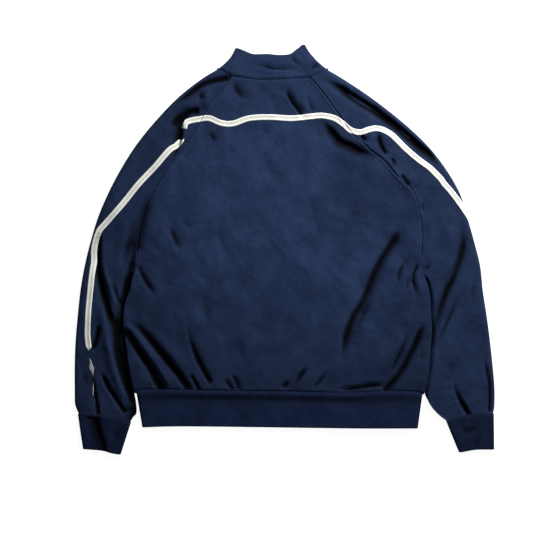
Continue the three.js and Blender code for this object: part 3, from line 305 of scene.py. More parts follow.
RIGHT_SLEEVE_FOLDS = [
    Fold(-3.2, 8, 10, [(312, 78), (332, 48), (339, 21), (336, -4), (328, -33), (322, -52), (309, -77),
                      (295, -115), (287, -140), (279, -168), (276, -196)], fade_in=0.3, fade_out=0.08),
    Fold(2.8, 4.5, 4, [(336, -20), (325, -65), (310, -104), (296, -148), (284, -184)], fade_in=0.2),
    Fold(-2.4, 3, 2.5, [(329, -90), (312, -126), (298, -158), (283, -193)]),
    Fold(-1.1, 5, 5, [(358, -38), (358, -112)]),
    Fold(-6.0, 3.5, 3.5, [(318, -242), (328, -275), (339, -297), (351, -317)], fade_in=0.7,
         fade_out=0.02),
    Fold(-2.8, 2, 2.5, [(378, -192), (382, -221), (387, -248), (388.5, -275), (388, -309)],
         fade_in=0.3, fade_out=0.05),
    Fold(-1.1, 7, 7, [(297, -206), (315, -220), (331, -234)]),
    Fold(1.3, 7, 7, [(311, 48), (312, 4)]),
    Fold(-1.9, 7, 7, [(259, -24), (277, -42)]),
]

COLLAR_FOLDS = [
    Fold(-2.2, 4.5, 2.5, [(-76, 347), (-46, 348), (-22, 342), (16, 341), (38, 336)]),
    Fold(-1.9, 4, 4, [(12, 369), (19, 357), (33, 346)]),
    Fold(1.4, 8, 8, [(34, 368), (42, 356), (50, 348)]),
    Fold(-1.2, 4, 4, [(-104, 364), (-98, 356)]),
    Fold(-1.5, 3, 3, [(66, 352), (57, 346), (48, 338)]),
]

CUFF_LEFT_FOLDS = [
    Fold(-4.6, 4, 18, [(-356, -306), (-354, -330), (-345, -362), (-336, -392)], fade_in=0.05,
         fade_out=0.05),
    Fold(-1.2, 5, 5, [(-316, -336), (-317, -352), (-315, -368)]),
]

CUFF_RIGHT_FOLDS = [
    Fold(-1.5, 5, 5, [(328, -338), (350, -343), (372, -328)]),
    Fold(-1.2, 5, 5, [(366, -350), (361, -382)]),
]

# Heights down the edges of the layers. Columns: y, height.
BACK_EDGE_LEVEL = [(60, 10.2), (10, 9.6), (-24, 8.2), (-46, 10.6), (-245, 10.4), (-269, 8.4)]
SLEEVE_EDGE_LEVEL = [(60, 10.2), (10, 9.6), (-24, 8.2), (-46, 3.0), (-330, 3.0)]
FRONT_EDGE_LEVEL = [(25, 0.7), (0, 1.1), (-24, 2.0), (-39, 5.4), (-250, 5.4), (-268, 2.2)]
SLEEVE_UNDER_LEVEL = [(25, 0.7), (0, 1.1), (-24, 2.0), (-39, 1.1), (-300, 1.1)]


def ramp(value, low, high):
    share = np.clip((value - low) / (high - low), 0.0, 1.0)
    return share * share * (3 - 2 * share)


def mix(first, second, share):
    return first + (second - first) * share


def shares(count):
    return np.linspace(0.0, 1.0, count + 1)


def along(points, places):
    """Points at shares of the way along a row of points, rounded through them."""
    points = np.asarray(points, float)
    last = len(points) - 1
    place = np.clip(np.asarray(places, float), 0, 1) * last
    index = np.minimum(place.astype(int), last - 1)
    step = (place - index)[..., None]
    before = points[np.maximum(index - 1, 0)]
    start = points[index]
    end = points[index + 1]
    after = points[np.minimum(index + 2, last)]
    slope_in = (end - before) / 2
    slope_out = (after - start) / 2
    cubic = 2 * start - 2 * end + slope_in + slope_out
    square = 3 * end - 3 * start - 2 * slope_in - slope_out
    return ((cubic * step + square) * step + slope_in) * step + start


def evenly(points, spacing):
    """Points along a rounded row of points, evenly spaced."""
    line = along(points, shares(40 * (len(points) - 1)))
    length = np.concatenate([[0], np.cumsum(np.hypot(*np.diff(line[:, :2], axis=0).T))])
    wanted = np.linspace(0, length[-1], int(round(length[-1] / spacing)) + 1)
    return np.stack([np.interp(wanted, length, line[:, axis]) for axis in range(line.shape[1])], -1)


def value_at(points, axis, values):
    """Value of a curve at one of its coordinates: axis 0 finds y at x, axis 1 finds x at y."""
    line = along(points, shares(1200))
    order = np.argsort(line[:, axis])
    return np.interp(values, line[order, axis], line[order, 1 - axis])


def look_up(table, places):
    rows = np.array(table, float)[::-1]
    return np.interp(places, rows[:, 0], rows[:, 1])


def to_path(x, y, line):
    """Signed distance from a line, positive on its left, and the share of the way along it."""
    best = np.full(x.shape, np.inf)
    side = np.ones(x.shape)
    share = np.zeros(x.shape)
    for index in range(len(line) - 1):
        start_x, start_y = line[index]
        span_x, span_y = line[index + 1] - line[index]
        reach = ((x - start_x) * span_x + (y - start_y) * span_y) / (span_x ** 2 + span_y ** 2)
        reach = np.clip(reach, 0, 1)
        off_x = x - start_x - span_x * reach
        off_y = y - start_y - span_y * reach
        distance = np.hypot(off_x, off_y)
        nearer = distance < best
        best = np.where(nearer, distance, best)
        side = np.where(nearer, np.sign(span_x * off_y - span_y * off_x), side)
        share = np.where(nearer, (index + reach) / (len(line) - 1), share)
    return best * side, share


def relief(x, y, folds):
    """Height that folds add, each fading at its ends."""
    height = np.zeros(x.shape)
    for fold in folds:
        line = along(fold.path, shares(6 * (len(fold.path) - 1)))
        faint = abs(fold.rise) < FAINT_RISE
        spread = FAINT_SPREAD if faint else MAIN_SPREAD
        reach = 3 * spread * max(fold.left, fold.right)
        low = line.min(0) - reach
        high = line.max(0) + reach
        near = (x > low[0]) & (x < high[0]) & (y > low[1]) & (y < high[1])
        if not near.any():
            continue
        distance, share = to_path(x[near], y[near], line)
        width = spread * np.where(distance > 0, fold.left, fold.right)
        profile = np.exp(-np.abs(distance / width) ** fold.power)
        fade_in = max(fold.fade_in, FAINT_FADE) if faint else fold.fade_in
        fade_out = max(fold.fade_out, FAINT_FADE) if faint and fold.fade_out > 0.1 else fold.fade_out
        fade = ramp(share, 0, fade_in) * ramp(1 - share, 0, fade_out)
        height[near] += FOLD_GAIN * fold.rise * fade * profile
    return height


def drape(x, y):
    """Unevenness of cloth that lies loosely: waves of several lengths, bent by each other."""
    bent_x = x + 22 * np.sin(y / 57 + 0.4) + 9 * np.sin(y / 21 + x / 33)
    bent_y = y + 25 * np.sin(x / 63 + 1.1) + 8 * np.sin(x / 19 - y / 37)
    broad = np.sin(bent_x / 41 + 0.5) * np.cos(bent_y / 55)
    medium = np.sin(bent_x / 15 + bent_y / 48) * np.cos(bent_y / 58 - bent_x / 71)
    small = np.sin(bent_y / 10.5 - bent_x / 37) * np.cos(bent_x / 33 + bent_y / 90)
    fine = np.sin(bent_x / 5.4 + bent_y / 13) * np.sin(bent_y / 17 - bent_x / 29)
    near_neck = ramp(318 - y, 0, 30)
    near_hem = ramp(y + 266, 0, 40)
    ease = mix(0.4, 1, near_neck * near_hem)
    return ease * (1.0 * broad + 1.1 * medium + 0.55 * small + 0.2 * fine)


def inside_body(x, y):
    """How far a point lies inside the body from its nearer side edge."""
    left = np.where(y > ARMPIT, value_at(RAGLAN_LEFT, 1, y), value_at(SIDE_LEFT, 1, y))
    right = np.where(y > ARMPIT, value_at(RAGLAN_RIGHT, 1, y), value_at(SIDE_RIGHT, 1, y))
    return np.minimum(x - left, right - x)


def seam_relief(distance):
    """A seam's groove, the rise of its allowance beside it and the dip along its topstitching."""
    groove = -1.3 * np.exp(-((distance / 1.5) ** 2))
    allowance = 0.5 * np.exp(-(((distance - 3.6) / 2.2) ** 2))
    stitching = -0.35 * np.exp(-(((distance - RAGLAN_STITCH) / 0.9) ** 2))
    return groove + allowance + stitching


RAGLAN_LINE_LEFT = along(RAGLAN_LEFT, shares(120))
RAGLAN_LINE_RIGHT = along(RAGLAN_RIGHT, shares(120))
OUTER_LINE_LEFT = along(OUTER_LEFT, shares(160))
OUTER_LINE_RIGHT = along(OUTER_RIGHT, shares(160))


def from_raglan(x, y):
    """Distance to the nearer raglan seam."""
    left = np.abs(to_path(x, y, RAGLAN_LINE_LEFT)[0])
    right = np.abs(to_path(x, y, RAGLAN_LINE_RIGHT)[0])
    return np.minimum(left, right)


def back_height(x, y):
    inset = np.maximum(inside_body(x, y), 0)
    level = mix(look_up(BACK_EDGE_LEVEL, y), BODY_LEVEL, ramp(inset, 0, 45))
    level = level + (look_up([(-245, 0), (-269, -2.0)], y)) * ramp(inset, 0, 45)
    above = ramp(y, ARMPIT - 36, ARMPIT)
    seam_distance = from_raglan(x, y)
    own = ramp(seam_distance, 0, 14) * above + (1 - above)
    height = level + relief(x, y, SHOULDER_FOLDS) + relief(x, y, BODY_FOLDS) * own
    height = height + drape(x, y) + seam_relief(seam_distance) * ramp(y, ARMPIT, 0)
    return soft_floor(height, front_height(x, y) + 1.8)


def soft_floor(height, lowest):
    """The height, eased so that it stays above the lowest."""
    over = height - lowest
    return lowest + 0.5 * (over + np.sqrt(over ** 2 + 1.2))


def sleeve_plateau(x, y, side):
    """Height of a sleeve's upper layer before its outer edge rolls down."""
    folds = LEFT_SLEEVE_FOLDS if side < 0 else RIGHT_SLEEVE_FOLDS
    seam_distance = np.abs(to_path(x, y, RAGLAN_LINE_LEFT if side < 0 else RAGLAN_LINE_RIGHT)[0])
    beside = np.maximum(-inside_body(x, np.maximum(y, SIDE_END)), 0)
    above = ramp(y, ARMPIT - 36, ARMPIT)
    rise_reach = np.where(y > ARMPIT, 16, 24 if side < 0 else 9)
    start = mix(np.maximum(beside - 1.5, 0), seam_distance, above)
    level = mix(look_up(SLEEVE_EDGE_LEVEL, y), SLEEVE_LEVEL, ramp(start, 0, rise_reach))
    own = ramp(seam_distance, 0, 14) * above + (1 - above)
    height = level + (relief(x, y, SHOULDER_FOLDS) + drape(x, y)) * mix(ramp(start, 0, 12), 1, above)
    height = height + relief(x, y, folds) * own * mix(ramp(start, 0, 6), 1, above)
    height = height + seam_relief(seam_distance) * ramp(y, ARMPIT, 0)
    return soft_floor(height, LOWEST_TOP - 0.5)


def sleeve_height(x, y, side):
    """Height of a sleeve's upper layer, with its outer edge rolled down."""
    distance = np.abs(to_path(x, y, OUTER_LINE_LEFT if side < 0 else OUTER_LINE_RIGHT)[0])
    turn = np.clip(1 - distance / ROLL_TOP_REACH, 0, 1)
    return mix(ROLL_LEVEL, sleeve_plateau(x, y, side), np.sqrt(1 - turn ** 2))


def slider_rise(x, y):
    """Rise of the front over the zip's slider and pull, which lie between the zip and the floor."""
    centre = value_at(ZIP_LINE, 1, np.clip(y, -336, 306))
    return SLIDER_LIFT * (1 - ramp(np.abs(x - centre), 10, 40)) * ramp(y, 205, 262)


def front_height(x, y):
    clamped = np.clip(y, -320, ARMPIT)
    beside = np.minimum(
        x - value_at(UNDERARM_LEFT, 1, clamped), value_at(UNDERARM_RIGHT, 1, clamped) - x)
    above = np.minimum(
        x - value_at(FRONT_RAGLAN_LEFT, 1, y), value_at(FRONT_RAGLAN_RIGHT, 1, y) - x)
    inset = np.where(y > ARMPIT, np.maximum(above, 0), beside)
    edge = look_up(FRONT_EDGE_LEVEL, y)
    return FLOOR_LAYER + (edge - FLOOR_LAYER) * (1 - ramp(inset, 1, 13)) + slider_rise(x, y)


def add_object(name, data):
    thing = bpy.data.objects.new(name, data)
    bpy.context.scene.collection.objects.link(thing)
    return thing


def make_mesh(name, points, faces, uv, material):
    """An object from points in millimetres, with each face corner's place on the flat cloth."""
    mesh = bpy.data.meshes.new(name)
    mesh.from_pydata((points * MM).tolist(), [], faces)
    layer = mesh.uv_layers.new(name="cloth")
    layer.data.foreach_set("uv", np.asarray(uv, float).ravel())
    mesh.materials.append(material)
    mesh.shade_smooth()
    return add_object(name, mesh)


def grid_faces(rows, columns, close_rows=False, close_columns=False):
    ids = np.arange(rows * columns).reshape(rows, columns)
    if close_columns:
        ids = np.concatenate([ids, ids[:, :1]], axis=1)
    if close_rows:
        ids = np.concatenate([ids, ids[:1]], axis=0)
    corners = [ids[:-1, :-1], ids[1:, :-1], ids[1:, 1:], ids[:-1, 1:]]
    return np.stack(corners, -1).reshape(-1, 4)


def grid_uv(places):
    corners = [places[:-1, :-1], places[1:, :-1], places[1:, 1:], places[:-1, 1:]]
    return np.stack(corners, -2).reshape(-1, 2) * MM


def blurred(values, reach):
    """Values of a grid averaged over their neighbours, with a bell weight."""
    offsets = np.arange(-3 * reach, 3 * reach + 1)
    weights = np.exp(-0.5 * (offsets / reach) ** 2)
    weights = weights / weights.sum()
    for axis in (0, 1):
        wide = np.pad(values, [(3 * reach, 3 * reach) if a == axis else (0, 0) for a in (0, 1)], "edge")
        values = np.apply_along_axis(np.convolve, axis, wide, weights, "valid")
    return values


# How light the cloth is down the jacket. It stands in for uneven light and for shadow that the lamp
# does not cast, and was tuned until the render was about as bright as the photograph, part by part.
# Columns: y, tone.
PAINTED_LIGHT_DOWN = [
    (330, 0.6), (260, 0.72), (225, 0.82), (150, 0.86), (60, 0.86), (-20, 0.84), (-100, 0.72), (-180, 0.66),
    (-268, 0.58),
]


def painted_light_and_mottling(x, y):
    """Painted light and shade by place, tuned as the table above is, with a made-up mottling."""
    side = 1 - 0.15 * ramp(-x, 140, 250) - 0.3 * ramp(x, 30, 120) * ramp(y, -30, 80)
    side = side * (1 - 0.2 * ramp(x, 130, 240) * (1 - ramp(y, -30, 80)))
    mottled = 1 + 0.05 * np.sin(x / 13 + 2 * np.sin(y / 27)) * np.sin(y / 17 + 1.5 * np.sin(x / 31))
    return look_up(PAINTED_LIGHT_DOWN, y) * side * mottled


def painted_fold_shade(height):
    """Painted shade and highlight from the cloth's height: darker in a hollow or a groove, a little
    lighter on a ridge.
    """
    hollow = (blurred(height, 5) - height) / 3.0
    groove = (blurred(height, 2) - height) / 0.9
    ridge = 1 + 0.06 * ramp(-hollow, 0, 0.8)
    return ridge * (1 - 0.94 * ramp(hollow, 0.04, 1.0)) * (1 - 0.5 * ramp(groove, 0.12, 1.1))


def deep_shade(x, y, *tables):
    """How much light the painted shade leaves at the bottom of the folds."""
    depth = -sum(relief(x, y, folds) for folds in tables)
    return 1 - 0.72 * ramp(depth, 0.6, 6.0)


def set_shade(piece, values):
    layer = piece.data.attributes.new("shade", "FLOAT", "POINT")
    layer.data.foreach_set("value", np.ascontiguousarray(values, dtype=np.float32).ravel())


def with_allowance(grid, at_top, at_bottom):
    """The grid with a row of seam allowance beyond its first and last rows, tucked in under the next
    piece. Each is the distance it goes on down the jacket's length, or 0 for none."""
    rows = [grid]
    for edge, reach in ((grid[:1], at_top), (grid[-1:], -at_bottom)):
        if not reach:
            continue
        tucked = edge.copy()
        tucked[..., 1] += reach
        if tucked.shape[-1] == 3:
            tucked[..., 2] -= np.where(tucked[..., 2] > TUCK_ABOVE, TUCK_DROP, 0)
        rows = [tucked] + rows if reach > 0 else rows + [tucked]
    return np.concatenate(rows)


def sheet_piece(name, grid, places, material):
    """An open sheet of cloth from a grid of points and their places on the flat cloth."""
    rows, columns = grid.shape[:2]
    faces = grid_faces(rows, columns)
    return make_mesh(name, grid.reshape(-1, 3), faces.tolist(), grid_uv(places), material)


def grid_normals(grid, ring=False):
    if ring:
        across = np.roll(grid, -1, axis=1) - np.roll(grid, 1, axis=1)
    else:
        across = np.gradient(grid, axis=1)
    down = np.gradient(grid, axis=0)
    normal = np.cross(down, across)
    return normal / np.linalg.norm(normal, axis=-1, keepdims=True)


def band_piece(name, middle, places, shade, thickness, material, ring=False):
    """A thick band with rounded edges. Rows run from its seam to its free edge, columns round it."""
    normal = grid_normals(middle, ring)
    down = np.gradient(middle, axis=0)
    down = down / np.linalg.norm(down, axis=-1, keepdims=True)
    half = thickness / 2

    def rounded_end(row, sense, angles):
        turns = np.radians(angles)[:, None, None]
        return middle[row] + half * (normal[row] * np.cos(turns) + sense * down[row] * np.sin(turns))

    outside = middle + normal * half
    inside = (middle - normal * half)[::-1]
    points = np.concatenate([
        outside, rounded_end(-1, 1, EDGE_TURNS), inside, rounded_end(0, -1, EDGE_TURNS[::-1])])
    count = len(middle)
    turned = len(EDGE_TURNS)
    order = [*range(count), *[count - 1] * turned, *reversed(range(count)), *[0] * turned]
    tones = shade[order]
    tones[count + turned:2 * count + turned] = 1
    rows, columns = points.shape[:2]
    faces = grid_faces(rows, columns, close_rows=True, close_columns=ring).tolist()
    spots = places[order + [0]]
    uv = grid_uv(spots).tolist()
    if not ring:
        first = [row * columns for row in range(rows)]
        last = [row * columns + columns - 1 for row in reversed(range(rows))]
        for cap, column in ((first, 0), (last, -1)):
            faces.append(cap)
            uv += [tuple(spots[0, column] * MM)] * rows
    piece = make_mesh(name, points.reshape(-1, 3), faces, uv, material)
    set_shade(piece, tones)
    return piece


# Materials.


def node_maker(name):
    """Two functions for a new material. The first adds a node and returns one of its outputs, and the
    second sets the shader. Inputs go by name or number, and are a value or another node's output."""
    material = bpy.data.materials.new(name)
    material.use_nodes = True
    tree = material.node_tree

    def connect(node, inputs):
        for key, value in inputs.items():
            if isinstance(value, bpy.types.NodeSocket):
                tree.links.new(value, node.inputs[key])
            else:
                node.inputs[key].default_value = value

    def add(kind, output, inputs, **settings):
        node = tree.nodes.new("ShaderNode" + kind)
        for key, value in settings.items():
            setattr(node, key, value)
        connect(node, inputs)
        return node.outputs[output]

    def finish(inputs):
        connect(tree.nodes["Principled BSDF"], inputs)
        return material

    return add, finish


def noise(add, place, scale, detail, roughness=0.5):
    return add("TexNoise", "Fac", {
        "Vector": place, "Scale": scale, "Detail": detail, "Roughness": roughness})


def wave(add, place, direction, scale, distortion=0.0, detail=2.0):
    return add("TexWave", "Fac", {
        "Vector": place, "Scale": scale, "Distortion": distortion, "Detail": detail,
    }, bands_direction=direction)


def calculate(add, operation, *values):
    return add("Math", "Value", dict(enumerate(values)), operation=operation)


def bump(add, height, strength, distance, **normal):
    """A bump of a distance in millimetres."""
    return add("Bump", "Normal", {
        "Height": height, "Strength": strength, "Distance": distance * MM, **normal})


def coloured(add, share, *stops):
    """A colour between two stops, each a position and a colour."""
    output = add("ValToRGB", "Color", {"Fac": share})
    for element, (position, colour) in zip(output.node.color_ramp.elements, stops):
        element.position = position
        element.color = (*colour, 1)
    return output


def shaded(add, colour):
    """A colour darkened by the mesh's shade, where painted shade and painted light are kept."""
    shade = add("Attribute", "Fac", {}, attribute_name="shade")
    return add("VectorMath", "Vector", {0: colour, "Scale": shade}, operation="SCALE")


def knit(name, light, dark, wale, rib_depth, roughness, sheen):
    """Knitted cloth: fine wales and courses at the wale's spacing in millimetres."""
    add, finish = node_maker(name)
    place = add("UVMap", "UV", {}, uv_map="cloth")
    wales = wave(add, place, "X", WAVE_SCALE / wale, 0.6, 1.0)
    courses = wave(add, place, "Y", WAVE_SCALE / wale * COURSES_TO_WALES, 1.2, 1.0)
    cloudy = noise(add, place, 20.0, 5.0, 0.62)
    grain = noise(add, place, 420.0, 2.0, 0.6)
    # The cloth's crinkles, too shallow for its mesh.
    crinkle = bump(add, noise(add, place, 45.0, 4.0, 0.55), 0.8, 3.0)
    knitted = calculate(add, "MULTIPLY_ADD", courses, 0.2, wales)
    yarn = calculate(add, "MULTIPLY_ADD", grain, 2.0, knitted)
    tone_and_painted_shade = calculate(add, "MULTIPLY_ADD", grain, 0.5, cloudy)
    settled = calculate(add, "SUBTRACT", tone_and_painted_shade, 0.25)
    return finish({
        "Base Color": shaded(add, coloured(add, settled, (0.3, dark), (0.72, light))),
        "Normal": bump(add, yarn, 0.22, rib_depth, Normal=crinkle),
        "Roughness": roughness,
        "Specular IOR Level": 0.05,
        "Sheen Weight": sheen,
        "Sheen Roughness": 0.5,
        "Sheen Tint": (0.5, 0.62, 1.0, 1),
    })


def tape_material():
    """Off-white knitted tape: bright selvedges and a greyer ribbed channel along its middle."""
    add, finish = node_maker("tape_knit")
    place = add("UVMap", "UV", {}, uv_map="cloth")
    middle = calculate(add, "ABSOLUTE", add("SeparateXYZ", "X", {"Vector": place}))
    channel = add("MapRange", "Result", {
        "Value": middle, "From Min": 1.5 * MM, "From Max": 2.4 * MM, "To Min": 1.0, "To Max": 0.0,
    }, interpolation_type="SMOOTHSTEP")
    ribs = wave(add, place, "Y", 33.0)
    grain = noise(add, place, 500.0, 3.0)
    patchy = add("MapRange", "Result", {"Value": grain, "To Min": 0.45, "To Max": 1.0})
    grey = calculate(add, "MULTIPLY", channel, patchy)
    return finish({
        "Base Color": shaded(add, coloured(add, grey, (0, (0.66, 0.66, 0.62)), (1, (0.44, 0.44, 0.4)))),
        "Normal": bump(add, calculate(add, "MULTIPLY_ADD", ribs, channel, grain), 0.5, 0.3),
        "Roughness": 0.75,
        "Specular IOR Level": 0.2,
    })


def plain_material(name, colour, roughness, metallic=0.0, speckle=0.0):
    add, finish = node_maker(name)
    grain = noise(add, add("TexCoord", "Object", {}), 900.0, 3.0)
    dark = [value * (1 - speckle) for value in colour]
    light = [min(value * (1 + speckle), 1) for value in colour]
    return finish({
        "Base Color": coloured(add, grain, (0, dark), (1, light)),
        "Normal": bump(add, grain, 0.3, 0.05),
        "Roughness": roughness,
        "Metallic": metallic,
    })


# A wave texture's scale for bands a millimetre apart, and how many courses go to a wale.
WAVE_SCALE = 50
COURSES_TO_WALES = 1.25

cloth = knit("navy_knit", (0.0200, 0.0370, 0.093), (0.0105, 0.0195, 0.053), 1.1, 0.07, 0.85, 0.015)
# The rib is darker than the cloth partly for its own darker knit and partly as painted shade, for the
# light falling off towards the hem and cuffs.
rib = knit("navy_rib", (0.0082, 0.0150, 0.044), (0.0045, 0.0088, 0.028), 1.7, 0.1, 0.9, 0.01)
tape = tape_material()
thread = plain_material("navy_thread", (0.008, 0.014, 0.04), 0.6, speckle=0.2)
zip_tape = plain_material("zip_tape_weave", (0.012, 0.02, 0.05), 0.8, speckle=0.25)
metal = plain_material("slider_metal", (0.42, 0.43, 0.45), 0.32, metallic=1.0, speckle=0.12)


# Panels.

YOKE_ROWS = 130
SIDE_ROWS = 92
# Columns that roll down at each of the back's side edges.
ROLL_COLUMNS = 7
# Distances of the first columns of cells from an edge, and a sleeve's usual width.
EDGE_STEPS = np.array([0, 0.9, 1.8, 2.8, 4.0, 5.4, 7.0, 9.0])
SLEEVE_SPAN = 110
# Angles round the folded edge of a band, and round the edge of its cloth.
FOLD_TURNS = (60, 30, 0, -30, -60)
EDGE_TURNS = (40, 90, 140)
# Lengths down the bands: of their cloth, and for the reliefs along their seams.
CUFF_CLOTH = 66
CUFF_HEIGHT = 64
HEM_HEIGHT = 67
COLLAR_CLOTH = 46
COLLAR_HEIGHT = 45
# How much darker the cloth is made, as painted shade: on the sleeves beside the body, a painted shadow of
# the body's edge, and on the sleeves, cuffs and collar as a whole. By side for the sleeves. Tuned as the
# painted light down the jacket is.
SLEEVE_SHADOW = {-1: 0.93, 1: 0.6}
SLEEVE_PAINTED_SHADE = {-1: 0.6, 1: 0.62}
CUFF_PAINTED_SHADE = 0.72
COLLAR_PAINTED_SHADE = 0.7


def edged_shares(length, spacing):
    """Shares from 0 to 1 with closer steps near both ends, for a line of a length."""
    near = EDGE_STEPS / length
    middle = np.linspace(near[-1], 1 - near[-1], int((length - 2 * EDGE_STEPS[-1]) / spacing) + 1)
    return np.concatenate([near[:-1], middle, 1 - near[:-1][::-1]])


def make_back():
    across = edged_shares(540, 2.9)
    rows = []
    for share in shares(YOKE_ROWS):
        rows.append((along(RAGLAN_LEFT, share), along(RAGLAN_RIGHT, share), 1 - share, BACK_NECK))
    for share in shares(SIDE_ROWS)[1:]:
        rows.append((along(SIDE_LEFT, share), along(SIDE_RIGHT, share), share, HEM_SEAM))
    grid = np.zeros((len(rows), len(across), 3))
    for index, (left, right, bow, seam) in enumerate(rows):
        start = seam[0][0] + 1
        end = seam[-1][0] - 1
        ends = value_at(seam, 0, np.array([start, end]))
        lift = value_at(seam, 0, mix(start, end, across)) - mix(ends[0], ends[1], across)
        grid[index, :, 0] = mix(left[0], right[0], across)
        grid[index, :, 1] = mix(left[1], right[1], across) + lift * bow ** 3
    x = grid[..., 0]
    y = grid[..., 1]
    grid[..., 2] = back_height(x, y)
    # The top edge goes in under the collar's seam, and the lower edge into the hem's.
    neck = np.abs(to_path(x, y, along(BACK_NECK, shares(80)))[0])
    hem = np.abs(to_path(x, y, along(HEM_SEAM, shares(120)))[0])
    grid[..., 2] -= 1.6 * np.exp(-((neck / 2.0) ** 2)) + 1.9 * np.exp(-((hem / 2.2) ** 2))
    grid = with_allowance(grid, ALLOWANCE, ALLOWANCE)
    y = grid[..., 1]
    # Below the armpits the side edges roll down to the front's edges.
    edge_level = look_up(FRONT_EDGE_LEVEL, y[:, :1])
    depth = ramp(-y[:, :1], 24, 46)
    rolled = []
    for edge, sense in ((grid[:, :1], -1), (grid[:, -1:], 1)):
        radius = np.maximum(edge[..., 2] - edge_level, 0.4) / 2
        turns = []
        for angle in (30, 60, 90, 120, 150, 180):
            turn = math.radians(angle)
            point = edge.copy()
            point[..., 0] += sense * radius * math.sin(turn) * depth
            point[..., 2] -= radius * (1 - math.cos(turn)) * depth + 0.15 * (1 - depth)
            turns.append(point)
        inner = turns[-1].copy()
        inner[..., 0] -= sense * 6 * depth
        turns.append(inner)
        rolled.append(turns)
    left_turns = rolled[0][::-1]
    grid = np.concatenate([*left_turns, grid, *rolled[1]], axis=1)
    places = grid[..., :2].copy()
    reach = np.array([13, 7, 6, 5, 3.7, 2.4, 1.2])
    first = ROLL_COLUMNS
    places[:, :first, 0] = places[:, first:first + 1, 0] - reach
    places[:, -first:, 0] = places[:, -first - 1:-first, 0] + reach[::-1]
    piece = sheet_piece("back_cloth", grid, places, cloth)
    # Painted shade and highlight in the folds, and painted light down and across the back, with a made-up
    # mottling, go into the colour.
    shade = np.ones(grid.shape[:2])
    flat = grid[:, first:-first]
    shade[:, first:-first] = painted_fold_shade(flat[..., 2] - drape(flat[..., 0], flat[..., 1]))
    shade[:, first:-first] *= deep_shade(flat[..., 0], flat[..., 1], SHOULDER_FOLDS, BODY_FOLDS)
    set_shade(piece, shade * painted_light_and_mottling(grid[..., 0], grid[..., 1]))
    return piece


def make_sleeve(side):
    left = side < 0
    raglan = RAGLAN_LEFT if left else RAGLAN_RIGHT
    front_raglan = FRONT_RAGLAN_LEFT if left else FRONT_RAGLAN_RIGHT
    underarm = UNDERARM_LEFT if left else UNDERARM_RIGHT
    outer = OUTER_LEFT if left else OUTER_RIGHT
    yoke = shares(YOKE_ROWS)
    lower = shares(104)[1:]
    inner = np.concatenate([along(raglan, yoke), along(underarm, lower)])
    under_inner = np.concatenate([along(front_raglan, yoke), along(underarm, lower)])
    outer_share = np.concatenate([mix(0, 0.5, yoke) * mix(0.75, 1, yoke), mix(0.5, 1, lower)])
    edge = along(outer, outer_share)
    bow = CUFF_SEAM_BOW * np.maximum(0, 1 - (1 - outer_share) * 6)
    top_length = np.hypot(*(inner - edge).T)
    under_length = np.hypot(*(under_inner - edge).T)
    roll = np.minimum(ROLL_TOP_REACH, top_length * 0.35)
    near = EDGE_STEPS / SLEEVE_SPAN
    flat = np.concatenate([near[:-1], np.linspace(near[-1], 1, 38)])
    columns = [mix(top_length, roll, share) for share in flat]
    for angle in (12, 24, 36, 48, 60, 72, 82, 90):
        columns.append(roll * (1 - math.sin(math.radians(angle))))
    distance = np.stack(columns, 1)
    part = distance / top_length[:, None]
    x = mix(edge[:, :1], inner[:, :1], part)
    y = mix(edge[:, 1:], inner[:, 1:], part) + bow[:, None] * np.sin(np.pi * part)
    z = sleeve_height(x, y, side)
    z[:, -1] = ROLL_LEVEL
    under_roll = np.minimum(ROLL_UNDER_REACH, under_length * 0.3)
    under_columns = []
    for angle in (78, 66, 54, 42, 30, 15, 0):
        under_columns.append(under_roll * (1 - math.sin(math.radians(angle))))
    for share in shares(9)[1:]:
        under_columns.append(mix(under_roll, under_length, share))
    under_distance = np.stack(under_columns, 1)
    part = under_distance / under_length[:, None]
    under_x = mix(edge[:, :1], under_inner[:, :1], part)
    under_y = mix(edge[:, 1:], under_inner[:, 1:], part)
    seam = look_up(SLEEVE_UNDER_LEVEL, under_y)
    from_seam = under_length[:, None] - under_distance
    stripe_room = 1.4 * (1 - ramp(under_distance, 42, 62)) if side > 0 else 0
    level = mix(seam, FLOOR_LAYER + stripe_room * ramp(from_seam, 5, 25), ramp(from_seam, 0, 12))
    turn = np.clip(1 - under_distance / under_roll[:, None], 0, 1)
    under_z = mix(ROLL_LEVEL, level, np.sqrt(1 - turn ** 2))
    top = np.stack([x, y, z], -1)
    under = np.stack([under_x, under_y, under_z], -1)
    grid = np.concatenate([top, under], 1)
    run = np.concatenate([[0], np.cumsum(np.hypot(*np.diff(edge, axis=0).T))])
    places = np.zeros(grid.shape[:2] + (2,))
    places[..., 0] = np.concatenate([distance, -under_distance - 4], 1)
    places[..., 1] = -run[:, None]
    # Painted shade: the body's shadow beside its edge, the sleeve darker as a whole, and shade and
    # highlight in its folds.
    beside = np.maximum(-inside_body(x, np.clip(y, SIDE_END, ARMPIT)), 0)
    painted_body_shadow = 1 - SLEEVE_SHADOW[side] * (1 - ramp(beside, 0, 26 if left else 7)) * ramp(-y, 20, 60)
    tone_and_painted_shade = SLEEVE_PAINTED_SHADE[side]
    shade = np.full(grid.shape[:2], tone_and_painted_shade)
    folds = LEFT_SLEEVE_FOLDS if left else RIGHT_SLEEVE_FOLDS
    shade[:, :x.shape[1]] = tone_and_painted_shade * painted_fold_shade(sleeve_plateau(x, y, side) - drape(x, y)) * painted_body_shadow
    shade[:, :x.shape[1]] *= deep_shade(x, y, SHOULDER_FOLDS, folds)
    grid = with_allowance(grid, ALLOWANCE, ALLOWANCE)
    places = with_allowance(places, ALLOWANCE, ALLOWANCE)
    shade = np.concatenate([shade[:1], shade, shade[-1:]])
    if left:
        grid = grid[:, ::-1]
        places = places[:, ::-1] * (-1, 1)
        shade = shade[:, ::-1]
    name = "sleeve_left_cloth" if left else "sleeve_right_cloth"
    piece = sheet_piece(name, grid, places, cloth)
    set_shade(piece, shade)
    return piece


